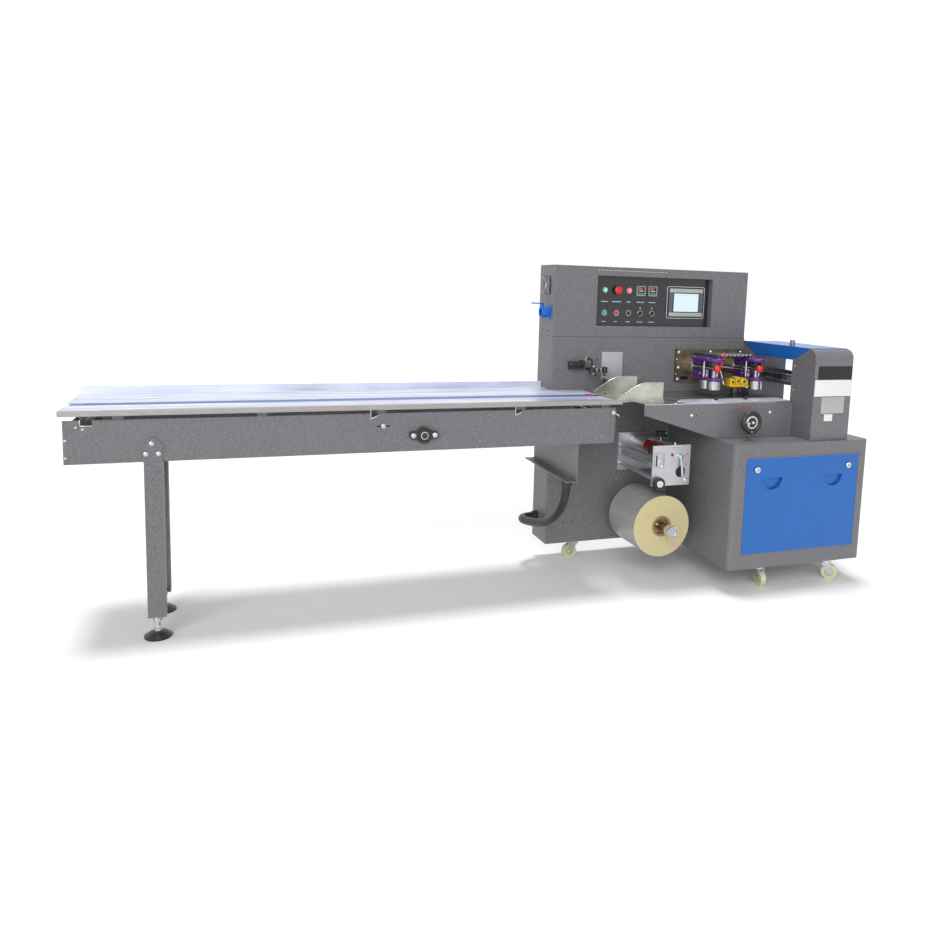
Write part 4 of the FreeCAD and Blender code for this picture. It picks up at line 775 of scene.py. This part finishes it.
chromate = plain_finish("yellow_chromate", (0.72, 0.46, 0.02), 0.35, 0.25, 70.0, 0.28)
guide = Build()
guide.plate(chromate, "z", 897, 905, rounded(834, 938, -238, -172, 4), 1)
for x0, x1, z1 in ((838, 866, 934), (871, 893, 944), (898, 934, 938)):
    guide.block(chromate, x0, x1, -228, -184, 904.5, z1, 1.4)
    guide.turned(black_oxide, ((x0 + x1) / 2, -227.6, (905 + z1) / 2), FRONT_WAYS, [(0, 6), (0.8, 6), (1.2, 5)], 20)
    guide.screw(chrome, ((x0 + x1) / 2, -206, z1), UP, 4)
guide.block(gunmetal, 866, 906, -214, -190, 849.9, 897.4, 1)
guide.block(gunmetal, 858, 914, -226, -178, 849.8, 855, 1)
bars_lo, bars_hi = span("fin_guides")
for y in (bars_hi.y - 6, bars_hi.y - 74):
    guide.bar(gunmetal, (756, y, 1040), (968, y, 1040), 5.5)
for x in (768, 956):
    guide.bar(gunmetal, (x, -11.6, 1040), (x, bars_hi.y - 100, 1040), 6.5)
for k in range(8):
    x = 782 + 22.6 * k
    guide.bar(chrome, (x, bars_hi.y + 22, 1048), (x + 6, bars_hi.y - 102, 1048), 3.6, 16)
    guide.turned(case_grey, (x + 6, bars_hi.y - 98, 1048), FRONT_WAYS, [(0, 4.8), (9, 4.8), (10.5, 3.4)], 16)
    for y in (bars_hi.y - 6, bars_hi.y - 74):
        guide.turned(gunmetal, (x + 3, y, 1039), UP, [(0, 3.4), (6.5, 3.4), (7.5, 2.4)], 12)
red_run = [(806, -112, 1040), (812, -150, 1046), (817, -190, 1050), (812, -202, 1034), (800, -206, 1008), (786, -206, 988)]
guide.bent(ball_red, red_run, [5, 5.5, 6.5, 6.5, 6, 5], 16)
guide.bent(chrome, [(784, -205, 992), (796, -205, 962), (806, -205, 934), (814, -205, 908)], [4.4, 4.2, 4.8, 5.6], 16)
guide.turned(ball_red, (768, -205, 984), (1, 0, 0.1), [(0, 3.6), (2, 4.2), (26, 4.2), (28, 3.2)], 16)
guide.bar(chrome, (772, -190, 994), (944, -172, 976), 3.8, 14)
guide.fit("guide_and_bar_grid", "root", "brass", "fin_guides")

bolts = Build()
for z in (mount_lo.z + 15, mount_lo.z + 73, mount_hi.z - 16):
    bolts.hexagon(chrome, (mount_lo.x + 17, mount_hi.y - 12, z), FRONT_WAYS, 12, 5)
for z in (mount_lo.z + 42, mount_hi.z - 50):
    bolts.screw(chrome, (mount_lo.x + 5, mount_hi.y - 12, z), FRONT_WAYS, 4)
for x in (mount_lo.x + 200, mount_hi.x - 14):
    bolts.hexagon(chrome, (x, mount_hi.y - 12, mount_hi.z - 14), FRONT_WAYS, 12, 5)
for x in (740, 977):
    bolts.turned(chrome, (x, UNIT_BACK + 2, 984), FRONT_WAYS,
                 [(-6, 46), (-2, 46), (-2, 43.6), (-6, 43.6)], 40, "joined")
bolts.block(black_oxide, 690, 734, mount_hi.y - 12.8, mount_hi.y - 11.8, 908, 926, 0.3)
bolts.fit("fin_mount_bolts", "root", "zinc")
plain_finish("turned_steel", (0.50, 0.50, 0.51), 0.25, 1.0, 240.0, 0.25, (1, 0.4, 1)).dress(
    "reel_flange", "infeed_chain", "infeed_sprockets", "crimp_shaft_upper", "crimp_shaft_lower",
    "fin_wheel_infeed_rear", "fin_wheel_infeed_front", "fin_wheel_outfeed_rear", "fin_wheel_outfeed_front")


# End seal housing
# Three bare plates on the front: black, white and aluminium, riveted at their corners. Screws
# hold the side sheet, and a brass collar stands round the upper shaft.

housing_lo, housing_hi = span("seal_housing")
plate_black = plain_finish("bare_black_plate", (0.005, 0.005, 0.006), 0.6, spread=0.3)
plate_white = plain_finish("bare_white_plate", (0.74, 0.74, 0.73), 0.4, scale=40.0, spread=0.03)
plate_metal = plain_finish("bare_metal_plate", (0.42, 0.43, 0.44), 0.35, 0.7, 60.0, 0.12, (9, 1, 1))
y = housing_lo.y
plates = Build()
plates.plate(plate_black, "y", y - 1.0, y + 0.2, rounded(housing_lo.x + 20, housing_hi.x - 4, 966, 1027, 2), 0.3)
plates.plate(plate_white, "y", y - 0.9, y + 0.2, rounded(housing_lo.x + 5, housing_hi.x - 2, 889, 964, 2), 0.3)
plates.plate(plate_metal, "y", y - 1.2, y + 0.2, rounded(housing_lo.x + 48, housing_hi.x - 36, 810, 885, 3), 0.4)
plates.plate(plate_white, "y", y - 0.8, y + 0.2, rounded(housing_lo.x + 70, housing_lo.x + 116, 774, 806, 2), 0.3)
for x in (housing_lo.x + 54, housing_hi.x - 42):
    for z in (815, 880):
        plates.screw(chrome, (x, y - 1.2, z), FRONT_WAYS, 2.4)
for z in (902, 1014, 760):
    plates.hexagon(chrome, (housing_lo.x, -382 - 20, z), LEFT, 8, 3)
plates.turned(contact, (1171, -104, 940), FRONT_WAYS, [(0, 30), (3, 31), (11, 31), (14, 29), (14, 19), (0, 19)], 40, "joined")
plates.fit("housing_plates_and_screws", "root", "aluminium")


# Film draw unit
# Two aluminium plates tied by bars, with a red rubber roller, a slotted leaning bar, a bent
# cover sheet, a sensor block, a clamping knob and a release lever.

film_lo, film_hi = span("film_unit")
aluminium = Finish("brushed_aluminium", 0.35, 0.85)
lines, patches = aluminium.noise(110.0, 3.0, (1, 1, 9)), aluminium.noise(9.0, 3.0)
metal_tone = aluminium.mix(lines, (0.40, 0.41, 0.43), (0.66, 0.67, 0.69))
aluminium.set("Base Color", aluminium.mix(aluminium.step(patches, 0.4, 0.75) * 0.35, metal_tone, (0.74, 0.75, 0.76)))
aluminium.set("Roughness", lines * 0.3 + 0.22)
aluminium.bump(lines, 0.0004, 0.25)
aluminium.dress("film_unit")
plain_finish("red_silicone", (0.40, 0.008, 0.010), 0.4, 0.0, 50.0, 0.2).dress("draw_roller")

y = film_lo.y
sensor_blue = plain_finish("sensor_light", (0.02, 0.35, 0.95), 0.3, glow=0.6)
DRAW_X, DRAW_Z = 466, 605
gear = Build()
for x, z in ((film_hi.x - 19, 607), (film_hi.x - 20, 558)):
    gear.turned(cap_red, (x, y + 0.3, z), FRONT_WAYS, [(0, 3.6), (0.7, 3.6), (1, 2.8)], 16)
gear.hexagon(chrome, (film_hi.x - 18, y, film_lo.z + 22), FRONT_WAYS, 14, 8)
for x in (470, 484, 498):
    gear.turned(black_oxide, (x, y + 0.3, 639), FRONT_WAYS, [(0, 2), (0.6, 2), (0.8, 1.2)], 12)
gear.turned(chrome, (480, y + 5, film_hi.z - 0.5), UP, [(0, 7), (3, 7), (4, 6), (12, 6), (13.5, 4.6)], 20)
gear.plate(aluminium, "y", y - 6, y + 0.2, rounded(374, 424, 548, 616, 4), 1)
# Painted shade: a black strip stands for the slot in the leaning bar, which lies in shade.
gear.plate(black_oxide, "y", y - 6.5, y - 5.5, rounded(379, 386, 556, 608, 3), 0)
for x, z in ((401, 579), (413, 556)):
    gear.hexagon(chrome, (x, y - 6, z), FRONT_WAYS, 9, 4)
for x, z in ((446, 536), (443, 512), (436, 610), (548, 636), (376, 640)):
    gear.screw(chrome, (x, y, z), FRONT_WAYS, 3.6)
gear.turned(moulded, (396, y - 0.2, 478), FRONT_WAYS, [(-2, 12), (6, 12), (7, 24), (9, 26.5), (24, 26.5), (27, 24), (27, 17), (25, 16)], 44)
gear.turned(chrome, (396, y - 24, 478), FRONT_WAYS, [(0, 16), (2.4, 16), (3.4, 14.8), (3.4, 1)], 32)
for k in range(16):
    a = 2 * math.pi * k / 16
    tip = (396 + 26 * math.cos(a), y - 9, 478 + 26 * math.sin(a))
    gear.bar(moulded, tip, (tip[0], y - 23, tip[2]), 2.6, 8)
gear.bar(aluminium, (383, y + 6, 590), (383, -6, 590), 7)
arc, inner_arc = [], []
for k in range(15):
    a = math.radians(196 - 9 * k)
    arc.append((DRAW_X + 42 * math.cos(a), DRAW_Z + 42 * math.sin(a)))
    inner_arc.append((DRAW_X + 40.4 * math.cos(a), DRAW_Z + 40.4 * math.sin(a)))
flat = [(DRAW_X + 92, DRAW_Z + 42), (DRAW_X + 92, DRAW_Z + 40.4)]
gear.plate(aluminium, "y", -150, -12, arc + flat + inner_arc[::-1], 0)
gear.block(moulded, 366, 394, y + 14, y + 52, 606, 652, 2)
gear.block(moulded, 388, 408, y + 20, y + 46, 600, 622, 2)
gear.turned(card, (372, y + 30, 604), UP, [(0, 6), (2.5, 6), (2.5, 4.4), (0, 4.4)], 16, "joined")
gear.block(moulded, 470, 516, -214, -176, 660, 686, 2)
gear.turned(sensor_blue, (508, -213.6, 680), FRONT_WAYS, [(0, 3.4), (1.2, 3.4), (1.8, 2.2)], 14)
gear.bar(chrome, (492, -196, 640), (492, -196, 664), 4)
gear.frame(aluminium, "x", 372, 377, rounded(y + 14, -18, 546, 572, 3), rounded(y + 60, -120, 553, 565, 3), 0.4)
gear.fit("film_unit_fittings", "root", "aluminium")

lever = Build()
lever.turned(chrome, (505, y + 9, 596), FRONT_WAYS, [(0, 5.6), (9, 5.6), (9.5, 13), (20, 13), (24, 10.5), (26, 5), (26, 1)], 28)
lever.bent(chrome, [(505, y - 12, 596), (507, y - 14, 580), (510, y - 15, 556), (513, y - 15, 530), (515, y - 15, 512), (515.6, y - 15, 507)],
           [5, 4.6, 5.2, 6.8, 7.6, 4.6], 20)
lever.fit("film_release_lever", "film_lever", "zinc", "film_lever")


# Film reel
# Clear film wound on a board core: silvery round the side, cream on the ends with the fine
# rings of the winding. The reel sits on chucks on a bronze shaft with a bright end cap.

reel_lo, reel_hi = span("film_roll")
reel_x, reel_z = (reel_lo.x + reel_hi.x) / 2, (reel_lo.z + reel_hi.z) / 2
wound = Finish("wound_film", 0.35)
distance = wound.reach("XZ", (reel_x, reel_z))
ends = wound.step(abs(wound.axis("Y") - (reel_lo.y + reel_hi.y) / 2), (reel_hi.y - reel_lo.y) / 2 - 0.8,
                  (reel_hi.y - reel_lo.y) / 2 - 0.2)
winding = (distance * 2.3).wave() * 0.5 + 0.5
flecks = wound.noise(260.0, 4.0)
cream = wound.mix(wound.step(flecks, 0.35, 0.72), (0.50, 0.43, 0.22), (0.70, 0.63, 0.40))
cream = wound.mix(winding * 0.25, cream, (0.50, 0.39, 0.17))
cream = wound.mix(wound.step(distance, 48.5, 47.5), cream, (0.30, 0.21, 0.12))
cream = wound.mix(wound.between(distance, 46.5, 48.5), cream, (0.06, 0.045, 0.035))
sides = wound.mix(wound.noise(14.0, 3.0, (1, 0.15, 1)), (0.34, 0.35, 0.35), (0.62, 0.62, 0.60))
wound.set("Base Color", wound.mix(ends, sides, cream))
wound.set("Metallic", 0.45 - ends * 0.45)
wound.set("Roughness", ends * 0.35 + 0.28)
wound.bump(winding * ends, 0.0004, 0.4)
wound.dress("film_roll")

shaft_lo, shaft_hi = span("reel_shaft")
shaft_finish = Finish("bronze_shaft", 0.35, 0.85)
wear = shaft_finish.noise(60.0, 3.0, (1, 3, 1))
bright = shaft_finish.step(shaft_finish.axis("Y"), shaft_lo.y + 27, shaft_lo.y + 26)
bronze_tone = shaft_finish.mix(wear, (0.13, 0.085, 0.04), (0.36, 0.26, 0.14))
shaft_finish.set("Base Color", shaft_finish.mix(bright, bronze_tone, (0.62, 0.62, 0.64)))
shaft_finish.set("Roughness", wear * 0.25 + 0.2)
shaft_finish.dress("reel_shaft")

reel_end = Build()
reel_end.turned(card, (reel_x, shaft_lo.y + 0.4, reel_z), FRONT_WAYS, [(0, 22), (1.6, 22), (2.4, 21), (2.4, 1)], 36)
reel_end.turned(chrome, (reel_x, shaft_lo.y + 6, reel_z), FRONT_WAYS, [(0, 27), (3, 28), (16, 28), (19, 27), (19, 25), (0, 25)], 40, "joined")
for k in range(3):
    a = math.radians(35 + 120 * k)
    u, v = math.cos(a), math.sin(a)
    reel_end.bent(chrome, [(reel_x + 20 * u, reel_lo.y + 2, reel_z + 20 * v), (reel_x + 27 * u, reel_lo.y - 7, reel_z + 27 * v),
                           (reel_x + 34 * u, reel_lo.y + 2, reel_z + 34 * v)], [2.6, 3.4, 2.6], 12)
reel_end.plate(black_oxide, "y", shaft_lo.y + 30, reel_lo.y + 10, rounded(reel_x - 3, reel_x + 3, reel_z + 19, reel_z + 20.6, 0.6, 1), 0)
reel_end.fit("reel_cap_and_catches", "reel", "steel")


# Infeed conveyor
# Film-covered stainless sheets either side of the blue chain lane, an aluminium rail along the
# front, and small hardware on the painted side: bolts, slots, brackets and a flange bearing.

rail_lo, rail_hi = span("infeed_rail")
rail = Finish("rail_aluminium", 0.35, 0.6)
rail_lines = rail.noise(80.0, 3.0, (0.2, 3, 9))
rail_tone = rail.mix(rail_lines, (0.28, 0.265, 0.25), (0.60, 0.58, 0.56))
# Painted shade: bands every 6.3 mm darken the rail for the shade in the grooves of its ribbed profile.
rib_shade = (rail.axis("Z") * (2 * math.pi / 6.3)).wave() * 0.5 + 0.5
rail.set("Base Color", rail.mix(rib_shade * 0.35, rail_tone, (0.16, 0.15, 0.145)))
rail.set("Roughness", rail_lines * 0.3 + 0.25)
rail.dress("infeed_rail")

lane_blue = Finish("lane_blue", 0.32)
scuff = lane_blue.noise(30.0, 4.0, (0.15, 3, 1))
lane_blue.set("Base Color", lane_blue.mix(lane_blue.step(scuff, 0.35, 0.75), (0.055, 0.10, 0.36), (0.15, 0.22, 0.56)))
lane_blue.set("Roughness", scuff * 0.3 + 0.22)
lane_grey = plain_finish("pusher_slot", (0.16, 0.16, 0.18), 0.4, 0.3)
pink = plain_finish("pink_guide", (0.85, 0.03, 0.16), 0.4)
sheet_lo, sheet_hi = span("infeed_table")
level = sheet_hi.z
lane = Build()
lane.frame(lane_blue, "z", level - 3, level, rounded(sheet_lo.x + 14, sheet_hi.x - 26, -235, -165, 3), rounded(sheet_lo.x + 60, sheet_hi.x - 60, -203, -197, 3), 0)
lane.plate(pink, "z", level - 0.3, level + 4, rounded(98, 136, -190, -168, 3), 0.8)
lane.block(skin, sheet_lo.x, sheet_hi.x - 10, -164.5, -150, level - 0.2, level + 1.4, 0.4)
lane.block(skin, sheet_lo.x, sheet_hi.x - 10, -250, -235.5, level - 0.2, level + 1.4, 0.4)
for x, yy in ((88, -184), (161 - 10, -178), (60, -300), (-860, -300), (-1980, -60), (-1980, -300), (-30, 60)):
    lane.screw(chrome, (x, yy, level), UP, 3.6)
lane.fit("chain_lane_strip", "root", "steel")

side_lo, side_hi = span("infeed_side_front")
y = side_lo.y
zinc = plain_finish("zinc_plate", (0.58, 0.59, 0.60), 0.25, 1.0, 60.0, 0.18)
hardware = Build()
for x, z in ((-1971, 758), (-1971, 695), (-1936, 804), (-1915, 797)):
    hardware.screw(zinc, (x, y, z), FRONT_WAYS, 5.2)
# Painted shade: a black sheet fills the notch behind the bracket, where the opening lies in shade.
hardware.plate(black_oxide, "y", y - 0.8, y + 0.2, [(-1922, 809), (-1885, 809), (-1885, 829), (-1922, 829)], 0)
for outline in ([(-1924, 807), (-1883, 807), (-1883, 809.5), (-1924, 809.5)], [(-1924, 807), (-1921.5, 807), (-1921.5, 829), (-1924, 829)]):
    hardware.plate(zinc, "y", y - 1.6, y + 0.2, outline, 0.3)
# Painted shade: black triangles fill the notches under the two brackets, where the openings lie in shade.
for x in (-904, -298):
    hardware.plate(black_oxide, "y", y - 1.0, y + 0.2, [(x, 809), (x + 30, 822), (x + 30, 829), (x, 829)], 0)
    hardware.plate(zinc, "y", y - 6, y + 0.2, [(x - 2, 806), (x + 1, 806), (x + 1, 845), (x - 2, 845)], 0.4)
    hardware.plate(zinc, "y", y - 1.6, y + 0.2, [(x - 2, 806), (x + 4, 806), (x + 30, 819), (x + 30, 822), (x, 809)], 0.2)
# Painted shade: a black strip marks the slot round the bolt, where the slot lies in shade.
hardware.plate(black_oxide, "y", y - 0.7, y + 0.2, rounded(-880, -827, 773, 779, 3), 0)
hardware.hexagon(zinc, (-853, y - 0.7, 776), FRONT_WAYS, 13, 6)
bearing_lo = span("infeed_drive_shaft")[0]
bearing_face = bearing_lo.y + 6
for x in (-734, -646):
    hardware.hexagon(zinc, (x, bearing_face, 736), FRONT_WAYS, 15, 8)
hardware.turned(moulded, (-690, bearing_face + 1, 736), FRONT_WAYS, [(0, 25), (4, 24), (6, 22), (6, 17), (-1, 16.5)], 36)
hardware.turned(zinc, (-690, bearing_face + 1, 736), FRONT_WAYS, [(0, 16), (7, 16), (8, 15), (8, 12.6), (0, 12.6)], 32, "joined")
hardware.plate(hammer, "y", y - 3, y + 0.2, [(151, 674), (171, 674), (173, 826), (151, 826)], 0.8)
hardware.plate(zinc, "x", 167, 169, [(y - 3, 674), (y + 26, 674), (y + 26, 826), (y - 3, 826)], 0.4)
hardware.hexagon(zinc, (161, y - 3, 806), FRONT_WAYS, 14, 7)
hardware.bent(zinc, [(161, y - 10, 806), (170, y - 13, 802), (182, y - 14, 793)], [3.2, 3, 3.6], 12)
hardware.fit("infeed_side_hardware", "root", "zinc")

leg_lo, leg_hi = span("infeed_legs")
leg_bolts = Build()
for x, z in ((-1694, 738), (-1714, 700), (-1672, 700)):
    leg_bolts.hexagon(zinc, (x, leg_lo.y, z), FRONT_WAYS, 12, 6)
    leg_bolts.hexagon(zinc, (x, leg_hi.y, z), (0, 1, 0), 12, 6)
for y0, y1 in ((leg_lo.y - 0.2, leg_lo.y + 2), (leg_hi.y - 2, leg_hi.y + 0.2)):
    leg_bolts.plate(hammer, "y", y0 - (0.3 if y0 < -200 else -0.3), y1, [(-1724, 671), (-1656, 671), (-1656, 675), (-1724, 675)], 0.4)
leg_bolts.fit("leg_bolts", "root", "zinc")

feet_lo, feet_hi = span("levelling_feet")
foot_finish = Finish("foot_rubber_and_stem", 0.35)
grains = foot_finish.noise(260.0, 2.0)
stem = foot_finish.step(foot_finish.axis("Z"), 24.3, 24.9)
rubber = foot_finish.mix(grains, (0.008, 0.008, 0.009), (0.026, 0.026, 0.028))
# Painted shade and highlight: the thread turns the stem's colour dark and light in bands, as light falls on its flanks.
thread_shading = (foot_finish.axis("Z") * 3.1).wave() * 0.5 + 0.5
metal = foot_finish.mix(thread_shading, (0.28, 0.29, 0.30), (0.66, 0.67, 0.68))
foot_finish.set("Base Color", foot_finish.mix(stem, rubber, metal))
foot_finish.set("Metallic", stem)
foot_finish.set("Roughness", grains * 0.25 + 0.2)
foot_finish.bump(thread_shading * stem, 0.0006, 0.6)
foot_finish.dress("levelling_feet")

nuts = Build()
foot_x = (feet_lo.x + feet_hi.x) / 2
for foot_y in (feet_lo.y + 49, feet_hi.y - 49):
    nuts.turned(zinc, (foot_x, foot_y, 24), UP, [(-1, 15), (3, 15), (5, 13), (17, 13), (19, 11)], 6)
    nuts.turned(zinc, (foot_x, foot_y, 62), UP, [(0, 17), (1, 18), (10, 18), (11, 17)], 6)
    for k in range(24):
        a = 2 * math.pi * k / 24
        spoke = [(foot_x + r * math.cos(a), foot_y + r * math.sin(a), z) for r, z in ((46, 7.4), (36, 13.4), (27, 20))]
        nuts.bent(moulded, spoke, [1.3, 1.5, 1.2], 6)
nuts.fit("levelling_nuts", "root", "zinc")


# Bracket and glands
# The painted channel that joins the infeed to the cabinet, its screws, and the conduit's glands.

plain_finish("gland_black", (0.02, 0.02, 0.022), 0.4, 0.0, 300.0, 0.35, relief=0.0003).dress("hose_glands", "sensor_arm", "infeed_drive_shaft")
bracket_lo, bracket_hi = span("infeed_bracket")
gland = Build()
for z, axis_way, spot in ((bracket_lo.z - 18, UP, (-30, -290)), (219, (1, 0, 0), (-18, 125))):
    start = (spot[0], spot[1], z) if axis_way == UP else (spot[0], spot[1], 219)
    gland.turned(moulded, start, axis_way, [(-9, 22), (-8, 24), (1, 24.6), (1, 21), (-9, 20.6)], 12, "joined")
for yy in (-320, -180, -40, 100):
    gland.screw(chrome, (bracket_lo.x + 26, yy, bracket_hi.z - 4), (0, 0, -1), 4)
gland.hexagon(zinc, (-18, bracket_lo.y + 40, bracket_hi.z - 4), (0, 0, -1), 13, 7)
gland.fit("bracket_screws", "root", "black_plastic")


# Print mark sensor
# A black sensor with a small red light on the cabinet, and its jointed arm with clamp screws.

arm_lo, arm_hi = span("sensor_arm")
led = plain_finish("sensor_red_light", (0.95, 0.03, 0.10), 0.3, glow=0.8)
tie = plain_finish("white_tie", (0.66, 0.66, 0.66), 0.5)
sensor = Build()
sensor.turned(led, (arm_lo.x + 1, -30, 990), LEFT, [(0, 3.6), (1.4, 3.6), (2, 2.4)], 16)
sensor.block(black_oxide, arm_lo.x + 6, arm_lo.x + 64, -38, -33.5, 972, 996, 1)
sensor.block(moulded, arm_lo.x + 58, arm_lo.x + 78, -30, -6, 992, 1006, 1)
for x, z in ((182, 983), (182, 947), (248, 983), (248, 945)):
    sensor.turned(chrome, (x, -74, z), FRONT_WAYS, [(0, 5), (4, 5), (5, 4)], 6)
for x in (202, 224):
    sensor.turned(tie, (x, -62, 965), (1, 0, 0), [(0, 8.4), (3, 8.4), (3, 6.8), (0, 6.8)], 18, "joined")
for z in (930, 890):
    sensor.turned(tie, (248, -62, z), UP, [(0, 8.4), (3, 8.4), (3, 6.8), (0, 6.8)], 18, "joined")
sensor.turned(moulded, (248, -62, 853.2), UP, [(0, 17), (3, 17), (4, 14), (26, 13), (28, 11)], 24)
sensor.bent(chrome, [(248, -62, 905), (251, -64, 880), (256, -66, 864)], [3.4, 3.4, 3.0], 12)
sensor.turned(chrome, (186, -2, 1008), FRONT_WAYS, [(-2, 15), (3, 15), (3, 12), (-2, 12)], 28, "joined")
sensor.bent(moulded, [(186, -2, 1020), (196, -24, 1006), (196, -36, 984), (186, -46, 968)], [5, 5.6, 5.6, 5], 14)
sensor.fit("sensor_fittings", "root", "black_plastic")


# Castors
# Plated forks on plates screwed under the cabinets, with cream nylon wheels on bolted axles.

zinc.dress("castor_plates", "castor_fork_main_left", "castor_fork_main_right", "castor_fork_front_left", "castor_fork_front_right")
for name in ("main_left", "main_right", "front_left", "front_right"):
    lo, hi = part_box("castor_wheel_" + name)
    middle = (lo + hi) / 2
    nylon = Finish("cream_nylon_" + name, 0.35)
    offset = nylon.node("ShaderNodeVectorMath", {"operation": "DISTANCE"}, {0: nylon.at, 1: middle}, 1) * 1000.0
    scuffs = nylon.noise(60.0, 3.0)
    tread = nylon.mix(nylon.step(scuffs, 0.5, 0.8), (0.60, 0.60, 0.38), (0.40, 0.39, 0.22))
    tread = nylon.mix(nylon.between(offset, 21.0, 23.0), tread, (0.22, 0.21, 0.11))
    nylon.set("Base Color", nylon.mix(nylon.step(offset, 17.5, 16.5), tread, (0.30, 0.30, 0.22)))
    nylon.set("Roughness", scuffs * 0.3 + 0.24)
    nylon.bump(nylon.between(offset, 21.0, 23.0), 0.001, -0.8)
    nylon.dress("castor_wheel_" + name)
